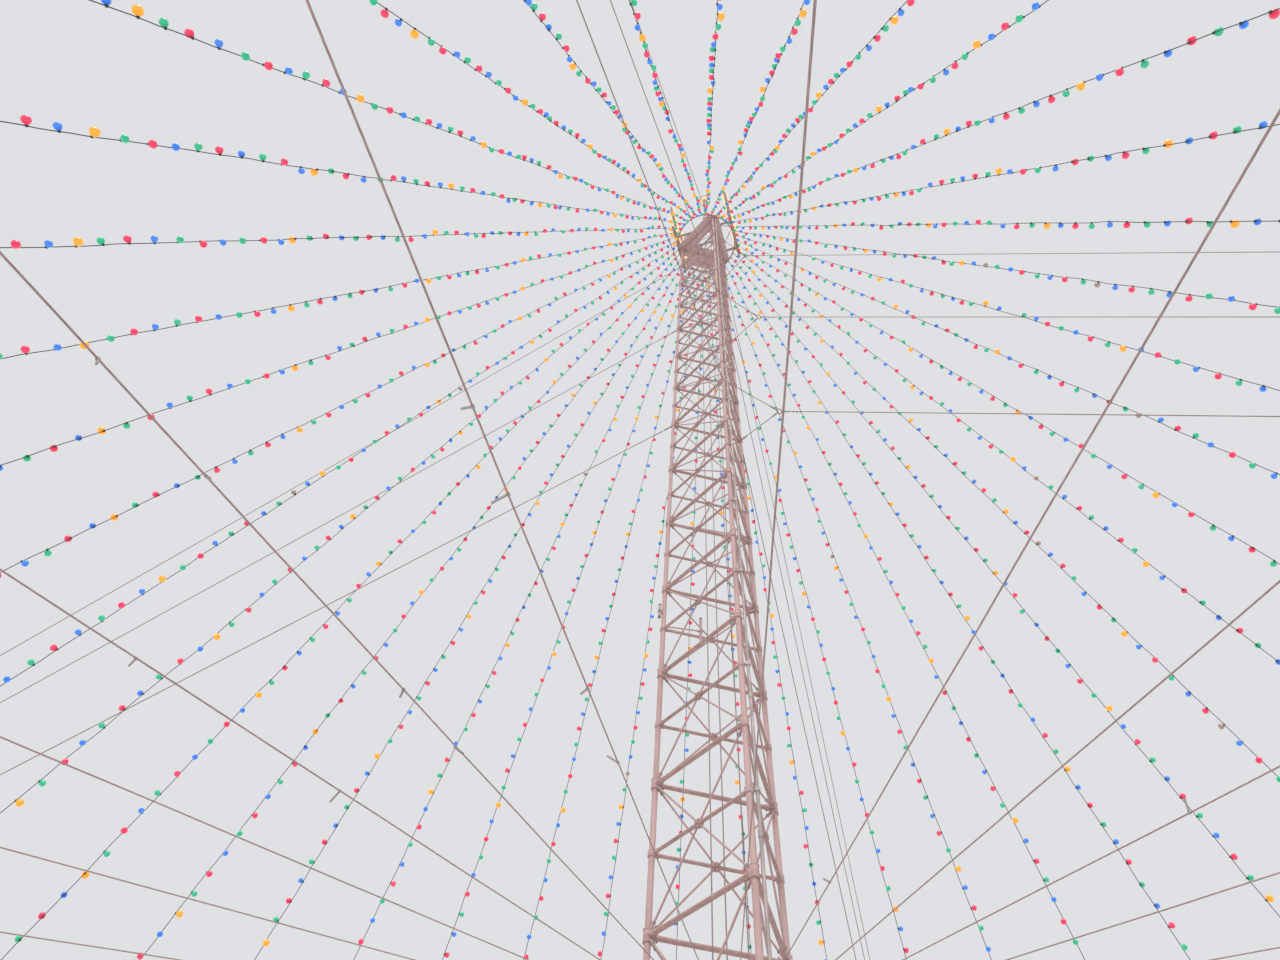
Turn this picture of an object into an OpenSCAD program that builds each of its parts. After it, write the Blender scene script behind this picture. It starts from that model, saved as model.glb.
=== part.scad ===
// Guyed lattice mast dressed with strings of lamps, scale model at 1:2.
// Millimetres, +Z up, origin on the mast axis at the underside of the plinth.
// Legs stand at 180, -60 and 60 degrees; the guys run out along X and Y.

/* [Lattice] */
// Face width between the leg centres
face_w = 914; // [880:2:1100]
// Height of one bay
bay_h = 1200; // [1000:10:1400]
// Number of whole bays
bays = 16; // [15:1:18]
// Bays below the joint between lower and upper leg
lower_bays = 8; // [5:1:10]
// Leg tube diameter
leg_d = 44; // [36:1:52]
// Node casting diameter
cast_d = 60; // [54:1:70]
// Node casting height
cast_h = 90; // [70:2:120]
// Half bay coupling diameter
coupling_d = 56; // [50:1:64]
// Half bay coupling height
coupling_h = 50; // [40:2:70]

/* [Struts and rods] */
// Main strut diameter at every bay
strut_d = 35; // [28:1:40]
// Socket diameter that takes a main strut
strut_socket_d = 44; // [41:1:50]
// Socket length from the leg centre
strut_socket_l = 68; // [60:1:80]
// Strut diameter at every half bay
mid_d = 27; // [20:1:28]
// Socket diameter that takes a half bay strut
mid_socket_d = 32; // [30:1:36]
// Socket length from the leg centre at a half bay
mid_socket_l = 54; // [48:1:70]
// Cross rod diameter
rod_d = 15; // [10:1:16]
// Socket diameter that takes a cross rod
rod_socket_d = 20; // [18:1:24]
// Socket length of a cross rod from the node centre
rod_socket_l = 84; // [78:1:110]
// Crossing boss diameter
cross_d = 60; // [50:1:70]
// Crossing boss thickness
cross_t = 32; // [29:1:38]

/* [Base] */
// Plinth height
plinth_h = 450; // [300:10:600]
// Plinth width across flats
plinth_w = 1440; // [1400:10:1700]
// Height of the upper step of the plinth
plinth_step_h = 100; // [60:10:160]
// Set back of the upper step of the plinth
plinth_step_w = 50; // [20:5:60]
// Base plate thickness
plate_t = 15; // [10:1:25]
// Base plate reach beyond the leg centre
plate_over = 90; // [85:1:105]
// Base plate half width at a corner
plate_corner = 110; // [100:1:125]
// Height of the foot below the first node
foot_h = 170; // [150:5:220]
// Foot flange diameter
foot_d = 140; // [120:2:150]
// Foot flange thickness
foot_t = 14; // [10:1:20]

/* [Rings and cables] */
// Radius of the rings around the mast
ring_r = 600; // [585:1:650]
// Ring tube diameter
ring_d = 24; // [20:1:28]
// Seat of a ring spoke from the leg centre
spoke_seat = 44; // [40:1:46]
// Ring spoke diameter
spoke_d = 20; // [14:1:24]
// Socket diameter on a leg that takes a ring spoke
spoke_socket_d = 32; // [28:1:36]
// Length of a cable lug from the centre of what carries it
lug_l = 40; // [32:1:50]
// Cable lug diameter
lug_d = 20; // [18:1:22]
// Number of lamp strings
string_n = 39; // [30, 33, 39]
// Bearing of the first lamp string
string_phase = -1; // [-1.3:0.1:-0.7]
// Lamp string diameter
string_d = 8; // [5:1:12]
// Radius of the circle of stakes on the ground
stake_r = 9150; // [8000:50:9600]
// Stake diameter
stake_d = 32; // [28:1:40]
// Stake height
stake_h = 300; // [260:5:400]
// Depth of the lamp string lug below the stake top
stake_top = 25; // [20:1:40]
// Node below the tether ring
tether_node = 2; // [1:1:4]
// Height of the tether ring above that node
tether_rise = 360; // [300:10:480]
// Height at which a tether ties back its lamp string
tie_h = 1735; // [1500:5:1900]
// Length of the sleeve that grips a lamp string there
tie_l = 60; // [50:2:80]
// Tether diameter
tether_d = 5; // [4:1:10]
// Radius of the guy anchor posts
guy_r = 19200; // [18000:100:19300]
// Guy diameter
guy_d = 11; // [8:1:16]
// Number of guys to each anchor
guy_n = 3; // [2:1:3]
// Nodes between the top of the mast and the highest guys
guy_below_top = 1; // [1:1:2]
// Nodes between one level of guys and the next
guy_step = 3; // [2:1:3]
// Length of a guy socket from the leg centre
guy_socket_l = 78; // [74:2:90]
// Distance of the bridle ring of an east guy from the face of the mast
bridle_l = 700; // [600:10:800]
// Radius of a bridle ring
bridle_ring_r = 34; // [30:1:40]
// Bar diameter of a bridle ring
bridle_ring_d = 14; // [12:1:16]
// Width of a concrete anchor block
block_w = 400; // [300:10:500]
// Height of a concrete anchor block
block_h = 200; // [150:10:300]
// Anchor post diameter
post_d = 60; // [50:2:80]
// Height of the first guy lug above the block
post_first = 90; // [80:5:120]
// Distance between guy lugs up the post
post_step = 90; // [80:5:120]
// Height of the post above its highest guy lug
post_over = 60; // [40:5:100]
// Length of a guy lug on the post
post_lug_l = 110; // [90:2:140]
// Diameter of a guy lug on the post
post_lug_d = 26; // [22:1:32]

/* [Fittings on the mast] */
// Distance of the conduit from the centre of leg b
conduit_off = 54; // [52:1:56]
// Turn of the conduit around leg b from the outward line
conduit_turn = 68; // [60:1:70]
// Conduit diameter
conduit_d = 24; // [18:1:26]
// Width of a conduit clip
clip_w = 34; // [32:1:36]
// Height of a conduit clip
clip_h = 28; // [20:1:36]
// Diameter of the pad on the leg that takes a clip
pad_d = 20; // [14:1:24]
// Hoist rope diameter
rope_d = 9; // [6:1:12]
// Distance of an outer hoist rope from the mast axis
rope_x = 110; // [90:5:115]
// Width of the bars that hold the hoist ropes
rope_bar_w = 40; // [30:1:50]
// Depth of the bars that hold the hoist ropes
rope_bar_h = 36; // [26:1:38]
// Length of the seat at each end of the hoist beam
rope_bar_seat = 60; // [40:1:64]
// Half bay that carries the two aerials
aerial_half = 5; // [4:1:6]
// Aerial diameter
aerial_d = 26; // [18:1:28]
// Aerial arm diameter
aerial_arm_d = 14; // [10:1:18]
// Length of the short aerial beside leg a
short_l = 190; // [150:10:240]
// Distance of the short aerial from the centre of leg a
short_off = 66; // [64:1:80]
// Bearing of the short aerial from leg a
short_at = 250; // [230:5:260]
// Height of the short aerial's arm above the half bay
short_rise = 200; // [180:10:260]
// Length of the long aerial inside the face between legs a and c
long_l = 370; // [300:10:400]
// Distance of the long aerial from leg a along the face
long_off = 346; // [330:2:360]
// Distance of the long aerial inwards of the face
long_in = 34; // [32:1:44]
// Height of the long aerial's arm above the half bay
long_rise = 45; // [44:1:60]

/* [Head] */
// Deck plate thickness
deck_t = 12; // [8:1:20]
// Deck reach beyond the leg centre
deck_over = 70; // [60:1:80]
// Deck half width at a corner
deck_corner = 100; // [85:1:110]
// Length of the work platform along the deck edge
shelf_l = 600; // [500:10:700]
// Reach of the work platform beyond the deck edge
shelf_w = 160; // [100:5:170]
// Hatch radius, centre to corner
hatch_r = 242; // [230:1:260]
// Height of the hatch rim
rim_h = 24; // [16:1:36]
// Width of the hatch rim
rim_w = 8; // [6:1:12]
// Bearing distance of the carriage arms from the mast axis
arm_y = 285; // [280:1:300]
// Width and depth of a carriage beam
beam_w = 40; // [30:1:44]
// Distance of a star from the mast axis
star_x = 600; // [590:1:650]
// Half length of the cross beams under the stars
cross_beam_l = 520; // [500:5:560]
// Star radius, centre to tip
star_r = 765; // [700:5:800]
// Width of the star band
star_band = 34; // [26:1:40]
// Star band thickness
star_t = 24; // [16:1:30]
// Star hub diameter
star_hub_d = 150; // [120:5:180]
// Width of a star rib
star_rib = 20; // [14:1:24]
// Width of a star foot
star_foot_w = 70; // [60:2:80]
// Height of a star foot
star_foot_h = 60; // [50:2:80]
// Star brace diameter
brace_d = 20; // [14:1:24]
// Distance of a brace foot from the mast axis along the arm
brace_x = 250; // [230:5:300]
// Height of the apex collar above the deck
apex_h = 2000; // [1900:10:2200]
// Diameter of the pyramid tubes
apex_tube_d = 36; // [30:1:40]
// Pyramid foot diameter
apex_foot_d = 90; // [80:2:110]
// Pyramid foot height
apex_foot_h = 44; // [36:2:60]
// Apex collar diameter
collar_d = 120; // [114:2:130]
// Apex collar height
collar_h = 130; // [110:5:160]
// Pole diameter
pole_d = 56; // [50:1:64]
// Pole height above the collar
pole_h = 1750; // [1600:10:1900]
// Pole flange thickness
pole_flange_t = 14; // [10:1:20]
// First rung above the collar
rung_first = 180; // [120:5:240]
// Distance between rungs
rung_step = 150; // [130:5:180]
// Number of rungs
rung_n = 9; // [6:1:9]
// Half length of a rung
rung_l = 120; // [100:5:150]
// Rung diameter
rung_d = 16; // [12:1:20]
// Beacon dish radius
dish_r = 135; // [120:5:150]
// Beacon dish height
dish_h = 60; // [50:2:80]
// Beacon dish wall
dish_wall = 8; // [6:1:12]

/* [Hidden] */
$fn = 48;
leg_at = [180, -60, 60];
leg_r = face_w / sqrt(3);
plate_top = plinth_h + plate_t;
first_z = plate_top + foot_h;
top_z = first_z + bays * bay_h;
leg_top = top_z + cast_h / 2;
split_z = first_z + (lower_bays + 0.5) * bay_h + coupling_h / 2;
tether_z = first_z + tether_node * bay_h + tether_rise;
deck_top = leg_top + deck_t;
deck_edge = (leg_r + deck_over) / 2 + deck_corner * sin(60);
arm_top = deck_top + beam_w;
cross_top = arm_top + beam_w;
star_tip_h = star_r * cos(36);
star_z = cross_top + star_foot_h / 2 + star_tip_h;
star_in = star_r * (3 - sqrt(5)) / 2;
star_edge = star_r * star_in * sin(36) / norm([star_r - star_in * cos(36), star_in * sin(36)]);
collar_z = deck_top + apex_h;
collar_top = collar_z + collar_h;
guy_levels = [for (i = [0 : guy_n - 1]) bays - guy_below_top - (guy_n - 1 - i) * guy_step];
guy_bearings = [0, 90, 180, 270];
string_pitch = 360 / string_n;
sector_n = string_n / 3;
post_h = post_first + (guy_n - 1) * post_step + post_over;
conduit_dir = leg_at[1] + conduit_turn;
face_dir = leg_at[2] - 30;

function polar(r, a, z) = [r * cos(a), r * sin(a), z];
function leg_pt(i, z) = polar(leg_r, leg_at[i], z);
function level_z(n) = first_z + n * bay_h;
function half_z(n) = first_z + (n + 0.5) * bay_h;
function toward(a, b, e) = a + (b - a) * e / norm(b - a);
function short_foot() = leg_pt(0, half_z(aerial_half) + short_rise);
function short_pt() = short_foot() + polar(short_off, short_at, 0);
function long_foot() = leg_pt(0, half_z(aerial_half) + long_rise);
function long_pt() = long_foot() + polar(long_off, face_dir, 0) + polar(long_in, face_dir - 90, 0);
function string_at(k) = string_phase + k * string_pitch;
function string_top(k) = polar(ring_r, string_at(k), top_z);
function string_foot(k) = polar(stake_r, string_at(k), stake_h - stake_top);
function tether_top(k) = polar(ring_r, string_at(k), tether_z);
function tether_foot(k) = let (a = string_top(k), b = string_foot(k))
  a + (b - a) * (a[2] - tie_h) / (a[2] - b[2]);
function guy_foot(i, a) = polar(guy_r, a, block_h + post_first + i * post_step);
function guy_leg(a) = a == 180 ? 0 : a == 90 ? 2 : 1;
function bridle_pt(i) = let (z = level_z(guy_levels[i]))
  toward((leg_pt(1, z) + leg_pt(2, z)) / 2, guy_foot(i, 0), bridle_l);
function guy_top(i, a) = a == 0 ? bridle_pt(i) : leg_pt(guy_leg(a), level_z(guy_levels[i]));
function guy_seat(a) = a == 0 ? bridle_ring_r + lug_l : guy_socket_l;
function guys_of(i, g) = i == 0 ? [guy_foot(g, 180)]
  : [guy_foot(g, i == 1 ? 270 : 90), bridle_pt(g)];
function star_pts(r) = [
  for (i = [0 : 9]) let (q = i % 2 == 0 ? r : r * star_in / star_r)
    [q * sin(i * 36), q * cos(i * 36)]
];
function corner_pts(over, half) = [
  for (a = leg_at) for (s = [-1, 1])
    [(leg_r + over) * cos(a) - s * half * sin(a),
     (leg_r + over) * sin(a) + s * half * cos(a)]
];

// Straight bar between two points
module bar(a, b, d, sides = 0) {
  v = b - a;
  translate(a)
    rotate([0, acos(v[2] / norm(v)), atan2(v[1], v[0])])
      if (sides > 0)
        cylinder(h = norm(v), d = d, $fn = sides);
      else
        cylinder(h = norm(v), d = d);
}

// Node casting with its sockets for the struts and rods of two faces
module casting(i, n) {
  p = leg_pt(i, level_z(n));
  translate([p[0], p[1], p[2] - cast_h / 2])
    cylinder(h = cast_h, d = cast_d);
  for (j = [(i + 1) % 3, (i + 2) % 3]) {
    bar(p, toward(p, leg_pt(j, level_z(n)), strut_socket_l), strut_socket_d);
    if (n < bays)
      bar(p, toward(p, leg_pt(j, level_z(n + 1)), rod_socket_l), rod_socket_d, 8);
    if (n > 0)
      bar(p, toward(p, leg_pt(j, level_z(n - 1)), rod_socket_l), rod_socket_d, 8);
  }
  if (n == bays)
    bar(p, p + polar(spoke_seat, leg_at[i], 0), spoke_socket_d);
  for (g = search(n, guy_levels))
    for (q = guys_of(i, g))
      bar(p, toward(p, q, guy_socket_l), lug_d);
}

// Half bay coupling with the sockets of its thinner struts
module coupling(i, n) {
  p = leg_pt(i, half_z(n));
  translate([p[0], p[1], p[2] - coupling_h / 2])
    cylinder(h = coupling_h, d = coupling_d);
  for (j = [(i + 1) % 3, (i + 2) % 3])
    bar(p, toward(p, leg_pt(j, half_z(n)), mid_socket_l), mid_socket_d);
  if (i == 1)
    bar(p, p + polar(conduit_off - clip_w / 2, conduit_dir, 0), pad_d);
  if (i == 0 && n == aerial_half) {
    bar(short_foot(), toward(short_foot(), short_pt(), spoke_seat), pad_d);
    bar(long_foot(), toward(long_foot(), long_pt(), spoke_seat), pad_d);
  }
}

// Clamp on a leg that takes a spoke of the tether ring
module ring_clamp(i) {
  p = leg_pt(i, tether_z);
  translate([p[0], p[1], p[2] - coupling_h / 2])
    cylinder(h = coupling_h, d = coupling_d);
  bar(p, p + polar(spoke_seat, leg_at[i], 0), spoke_socket_d);
}

module leg_lower(i) {
  p = leg_pt(i, plate_top);
  color("gainsboro") {
    translate(p)
      cylinder(h = split_z - plate_top, d = leg_d);
    translate(p)
      cylinder(h = foot_t, d = foot_d);
    for (n = [0 : lower_bays]) {
      casting(i, n);
      coupling(i, n);
    }
    ring_clamp(i);
  }
}

module leg_upper(i) {
  color("gainsboro") {
    translate(leg_pt(i, split_z))
      cylinder(h = leg_top - split_z, d = leg_d);
    for (n = [lower_bays + 1 : bays])
      casting(i, n);
    for (n = [lower_bays + 1 : bays - 1])
      coupling(i, n);
  }
}

// Main struts of one face, one at every node
module struts(i, j) {
  color("silver")
    for (n = [0 : bays]) {
      a = leg_pt(i, level_z(n));
      b = leg_pt(j, level_z(n));
      bar(toward(a, b, strut_socket_l), toward(b, a, strut_socket_l), strut_d);
    }
}

// Crossed rods of one bay, fused with the half bay strut in a round boss
module cross_bay(i, j, n) {
  a0 = leg_pt(i, level_z(n));
  b0 = leg_pt(j, level_z(n));
  a1 = leg_pt(i, level_z(n + 1));
  b1 = leg_pt(j, level_z(n + 1));
  am = leg_pt(i, half_z(n));
  bm = leg_pt(j, half_z(n));
  mid = (am + bm) / 2;
  out = [mid[0], mid[1], 0] / norm([mid[0], mid[1]]) * cross_t / 2;
  bar(toward(a0, b1, rod_socket_l), toward(b1, a0, rod_socket_l), rod_d, 8);
  bar(toward(b0, a1, rod_socket_l), toward(a1, b0, rod_socket_l), rod_d, 8);
  bar(toward(am, bm, mid_socket_l), toward(bm, am, mid_socket_l), mid_d, 8);
  bar(mid - out, mid + out, cross_d);
}

module bracing(i, j, from, to) {
  color("lightgray")
    for (n = [from : to])
      cross_bay(i, j, n);
}

module base_plinth() {
  color("darkgray") {
    cylinder(h = plinth_h - plinth_step_h, d = plinth_w / cos(30), $fn = 6);
    cylinder(h = plinth_h, d = (plinth_w - 2 * plinth_step_w) / cos(30), $fn = 6);
  }
}

module base_plate() {
  color("dimgray")
    translate([0, 0, plinth_h])
      linear_extrude(height = plate_t)
        polygon(corner_pts(plate_over, plate_corner));
}

module conduit() {
  p = leg_pt(1, 0) + polar(conduit_off, conduit_dir, 0);
  color("darkgray") {
    translate([p[0], p[1], plate_top + foot_t])
      cylinder(h = leg_top - plate_top - foot_t, d = conduit_d);
    for (n = [0 : bays - 1])
      translate([p[0], p[1], half_z(n)])
        rotate([0, 0, conduit_dir])
          cube([clip_w, clip_w, clip_h], center = true);
  }
}

module rope_anchor() {
  color("dimgray")
    translate([-rope_x - rope_bar_seat, -rope_bar_w / 2, plate_top])
      cube([2 * (rope_x + rope_bar_seat), rope_bar_w, rope_bar_h]);
}

module hoist_beam() {
  color("dimgray")
    translate([-hatch_r - rope_bar_seat, -rope_bar_w / 2, leg_top - rope_bar_h])
      cube([hatch_r * 1.5 + 2 * rope_bar_seat, rope_bar_w, rope_bar_h]);
}

module hoist_ropes() {
  low = plate_top + rope_bar_h;
  color("gray")
    for (x = [-rope_x, -rope_x / 5, rope_x])
      translate([x, 0, low])
        cylinder(h = leg_top - rope_bar_h - low, d = rope_d, $fn = 8);
}

// Two aerials on arms from leg a, one beside the leg and one inside the face to leg c
module aerial_arms() {
  color("whitesmoke")
    for (q = [[short_foot(), short_pt(), short_l], [long_foot(), long_pt(), long_l]]) {
      bar(toward(q[0], q[1], spoke_seat), q[1], aerial_arm_d);
      translate(q[1] - [0, 0, q[2] / 2])
        cylinder(h = q[2], d = aerial_d);
    }
}

// Hoop around the mast on three spokes
module hoop(z) {
  translate([0, 0, z])
    rotate_extrude()
      translate([ring_r, 0])
        circle(d = ring_d);
  for (i = [0 : 2])
    bar(leg_pt(i, z) + polar(spoke_seat, leg_at[i], 0), polar(ring_r, leg_at[i], z), spoke_d);
}

module lug(a, b) {
  bar(a, toward(a, b, lug_l), lug_d, 8);
}

module tether_ring() {
  color("darkgray") {
    hoop(tether_z);
    for (k = [0 : string_n - 1])
      lug(tether_top(k), tether_foot(k));
  }
}

module string_ring() {
  color("darkgray") {
    hoop(top_z);
    for (k = [0 : string_n - 1])
      lug(string_top(k), string_foot(k));
  }
}

// Rings that join the two bridle ropes of an east guy, each in the plane of its ropes
module guy_rings() {
  color("darkgray")
    for (i = [0 : guy_n - 1]) {
      p = bridle_pt(i);
      f = guy_foot(i, 0);
      translate(p)
        rotate([0, atan2(p[2] - f[2], f[0] - p[0]), 0])
          rotate_extrude()
            translate([bridle_ring_r, 0])
              circle(d = bridle_ring_d);
      for (q = [f, leg_pt(1, level_z(guy_levels[i])), leg_pt(2, level_z(guy_levels[i]))])
        lug(toward(p, q, bridle_ring_r), q);
    }
}

module head_deck() {
  color("slategray") {
    translate([0, 0, leg_top])
      linear_extrude(height = deck_t)
        difference() {
          union() {
            polygon(corner_pts(deck_over, deck_corner));
            rotate(leg_at[0] - 60)
              translate([deck_edge / 2, -shelf_l / 2])
                square([deck_edge / 2 + shelf_w, shelf_l]);
          }
          rotate(180)
            circle(r = hatch_r, $fn = 3);
        }
    translate([0, 0, leg_top])
      linear_extrude(height = deck_t + rim_h)
        difference() {
          rotate(180)
            circle(r = hatch_r + 2 * rim_w, $fn = 3);
          rotate(180)
            circle(r = hatch_r, $fn = 3);
        }
  }
}

// Two arms across the deck and a beam under each star
module star_carriage() {
  reach = star_x + beam_w / 2;
  color("darkslategray") {
    for (s = [-1, 1])
      translate([-reach, s * arm_y - beam_w / 2, deck_top])
        cube([2 * reach, beam_w, beam_w]);
    for (s = [-1, 1])
      translate([s * star_x - beam_w / 2, -cross_beam_l, arm_top])
        cube([beam_w, 2 * cross_beam_l, beam_w]);
  }
}

// Five pointed frame in the plane of X, with two braces down to the arms
module star(s) {
  k = 1 - star_band / star_edge;
  hub = [s * star_x, 0, star_z];
  color("snow") {
    translate(hub)
      rotate([90, 0, 90])
        translate([0, 0, -star_t / 2])
          linear_extrude(height = star_t) {
            difference() {
              polygon(star_pts(star_r));
              polygon(star_pts(star_r * k));
            }
            for (i = [0 : 4])
              rotate(i * 72 + 36)
                translate([-star_rib / 2, 0])
                  square([star_rib, star_in - star_band / 2]);
            circle(d = star_hub_d);
          }
    for (t = [-1, 1]) {
      translate([s * star_x - star_t / 2, t * star_r * sin(36) - star_foot_w / 2, cross_top])
        cube([star_t, star_foot_w, star_foot_h]);
      bar([s * star_x, 0, star_z], [s * brace_x, t * arm_y, arm_top + beam_w / 4], brace_d);
      translate([s * brace_x - beam_w / 2, t * arm_y - beam_w / 2, arm_top])
        cube([beam_w, beam_w, beam_w / 2]);
    }
  }
}

// Pyramid of three tubes with a collar at its apex
module head_frame() {
  color("gainsboro") {
    for (i = [0 : 2]) {
      translate(leg_pt(i, deck_top))
        cylinder(h = apex_foot_h, d = apex_foot_d);
      bar(leg_pt(i, deck_top + apex_foot_h / 2),
          polar(collar_d / 5, leg_at[i], collar_z + collar_h / 3), apex_tube_d);
    }
    translate([0, 0, collar_z])
      cylinder(h = collar_h, d = collar_d);
  }
}

module head_pole() {
  color("whitesmoke") {
    translate([0, 0, collar_top])
      cylinder(h = pole_h, d = pole_d);
    translate([0, 0, collar_top])
      cylinder(h = pole_flange_t, d = collar_d);
    for (n = [0 : rung_n - 1])
      translate([0, 0, collar_top + rung_first + n * rung_step])
        rotate([90, 0, 0])
          cylinder(h = 2 * rung_l, d = rung_d, center = true);
  }
}

// Beacon on the pole: a shallow dish with a round lamp boss under it
module head_beacon() {
  color("white")
    translate([0, 0, collar_top + pole_h])
      rotate_extrude()
        polygon([
          [0, 0], [pole_d / 2 + dish_wall, 0], [pole_d / 2 + dish_wall, dish_h / 3],
          [dish_r - dish_wall, dish_h / 3], [dish_r - dish_wall, 0], [dish_r, 0],
          [dish_r, dish_h / 2], [dish_r * 0.7, dish_h * 0.85], [dish_r * 0.3, dish_h], [0, dish_h]
        ]);
}

module light_strings(sector) {
  color("darkgreen")
    for (k = [sector * sector_n : (sector + 1) * sector_n - 1]) {
      a = string_top(k);
      b = string_foot(k);
      p = tether_foot(k);
      bar(toward(a, b, lug_l), toward(b, a, lug_l), string_d, 6);
      bar(toward(p, a, tie_l / 2), toward(p, b, tie_l / 2), lug_d, 8);
      lug(p, tether_top(k));
    }
}

module tethers(sector) {
  color("gray")
    for (k = [sector * sector_n : (sector + 1) * sector_n - 1]) {
      a = tether_top(k);
      b = tether_foot(k);
      bar(toward(a, b, lug_l), toward(b, a, lug_l), tether_d, 6);
    }
}

module ground_stakes() {
  color("dimgray")
    for (k = [0 : string_n - 1]) {
      translate(polar(stake_r, string_at(k), 0))
        cylinder(h = stake_h, d = stake_d);
      lug(string_foot(k), string_top(k));
    }
}

// Guys to one anchor; those to the east hang on a bridle from legs b and c
module guys(a) {
  color("gray")
    for (i = [0 : guy_n - 1]) {
      p = guy_top(i, a);
      bar(toward(p, guy_foot(i, a), guy_seat(a)), toward(guy_foot(i, a), p, post_lug_l), guy_d, 6);
      if (a == 0)
        for (j = [1, 2]) {
          q = leg_pt(j, level_z(guy_levels[i]));
          bar(toward(q, p, guy_socket_l), toward(p, q, guy_seat(a)), guy_d, 6);
        }
    }
}

module anchor_blocks() {
  color("darkgray")
    for (a = guy_bearings)
      rotate([0, 0, a])
        translate([guy_r - block_w / 2, -block_w / 2, 0])
          cube([block_w, block_w, block_h]);
}

module anchor_posts() {
  color("dimgray")
    for (a = guy_bearings) {
      translate(polar(guy_r, a, block_h))
        cylinder(h = post_h, d = post_d);
      translate(polar(guy_r, a, block_h))
        cylinder(h = foot_t, d = foot_d);
      for (i = [0 : guy_n - 1])
        bar(guy_foot(i, a), toward(guy_foot(i, a), guy_top(i, a), post_lug_l), post_lug_d);
    }
}

base_plinth();
base_plate();
leg_lower(0);  // leg_a_lower
leg_upper(0);  // leg_a_upper
leg_lower(1);  // leg_b_lower
leg_upper(1);  // leg_b_upper
leg_lower(2);  // leg_c_lower
leg_upper(2);  // leg_c_upper
struts(0, 1);  // struts_ab
struts(1, 2);  // struts_bc
struts(2, 0);  // struts_ca
bracing(0, 1, 0, lower_bays - 1);  // bracing_ab_lower
bracing(0, 1, lower_bays, bays - 1);  // bracing_ab_upper
bracing(1, 2, 0, lower_bays - 1);  // bracing_bc_lower
bracing(1, 2, lower_bays, bays - 1);  // bracing_bc_upper
bracing(2, 0, 0, lower_bays - 1);  // bracing_ca_lower
bracing(2, 0, lower_bays, bays - 1);  // bracing_ca_upper
conduit();
rope_anchor();
hoist_ropes();
hoist_beam();
aerial_arms();
tether_ring();
guy_rings();
string_ring();
head_deck();
star_carriage();
star(1);  // star_east
star(-1);  // star_west
head_frame();
head_pole();
head_beacon();
light_strings(0);  // light_strings_a
light_strings(1);  // light_strings_b
light_strings(2);  // light_strings_c
tethers(0);  // tethers_a
tethers(1);  // tethers_b
tethers(2);  // tethers_c
ground_stakes();
guys(0);  // guys_east
guys(90);  // guys_north
guys(180);  // guys_west
guys(270);  // guys_south
anchor_blocks();
anchor_posts();
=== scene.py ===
"""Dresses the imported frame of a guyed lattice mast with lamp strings.

Every length is in metres in the row frame: the origin is on the mast axis at the
underside of the plinth, +Z points up and the four guy lines run along X and Y.
Bearings and turns are in degrees.
"""

import logging
import math
from abc import ABC, abstractmethod
from collections.abc import Callable, Iterable, Iterator, Sequence
from dataclasses import dataclass, field
from enum import Enum
from functools import cache
from itertools import groupby, pairwise, product
from typing import Any

import bpy
from mathutils import Matrix, Vector


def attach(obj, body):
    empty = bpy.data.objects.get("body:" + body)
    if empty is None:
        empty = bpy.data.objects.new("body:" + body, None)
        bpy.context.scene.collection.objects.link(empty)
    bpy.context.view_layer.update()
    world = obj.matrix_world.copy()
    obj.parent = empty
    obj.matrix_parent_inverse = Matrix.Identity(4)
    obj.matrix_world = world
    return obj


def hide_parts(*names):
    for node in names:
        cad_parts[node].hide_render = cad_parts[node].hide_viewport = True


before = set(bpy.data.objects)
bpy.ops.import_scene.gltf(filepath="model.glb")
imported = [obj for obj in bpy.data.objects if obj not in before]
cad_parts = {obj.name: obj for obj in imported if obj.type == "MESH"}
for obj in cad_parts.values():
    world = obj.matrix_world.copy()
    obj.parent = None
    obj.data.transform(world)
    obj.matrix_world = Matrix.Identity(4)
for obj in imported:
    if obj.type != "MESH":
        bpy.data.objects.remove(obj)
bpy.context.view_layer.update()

LOG = logging.getLogger("mast")
Mesh, Piece = bpy.types.Mesh, bpy.types.Object
Node, Socket, Tree = bpy.types.Node, bpy.types.NodeSocket, bpy.types.NodeTree
Colour = tuple[float, float, float, float]
Feeds = dict[str | int, Any]
Line = tuple[Vector, Vector]
Profile = Sequence[tuple[float, float]]
Sizes = tuple[float, ...]
UP, DOWN = Vector((0.0, 0.0, 1.0)), Vector((0.0, 0.0, -1.0))
SIDES = (-1.0, 1.0)
LEG_PAIRS = tuple((i, (i + step) % 3) for i in range(3) for step in (1, 2))
SUNK = -0.001
"""How far the seat of a fitting reaches into what it sits on."""


def polar(radius: float, bearing: float, height: float = 0.0) -> Vector:
    """A point at a radius and a bearing from the mast axis."""
    angle = math.radians(bearing)
    return Vector((radius * math.cos(angle), radius * math.sin(angle), height))


def toward(start: Vector, end: Vector, distance: float) -> Vector:
    """The point at a distance from start on the line to end."""
    return start + (end - start).normalized() * distance


def drawn_in(start: Vector, end: Vector, first: float, last: float) -> Line:
    """A line with its start and its end moved inwards."""
    return toward(start, end, first), toward(end, start, last)


def shown(name: str, data: Any) -> Piece:
    """Puts a new object in the scene.

    Args:
        name: its name.
        data: its mesh, light or camera.

    Returns:
        The object.
    """
    made = bpy.data.objects.new(name, data)
    bpy.context.scene.collection.objects.link(made)
    return made


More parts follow.
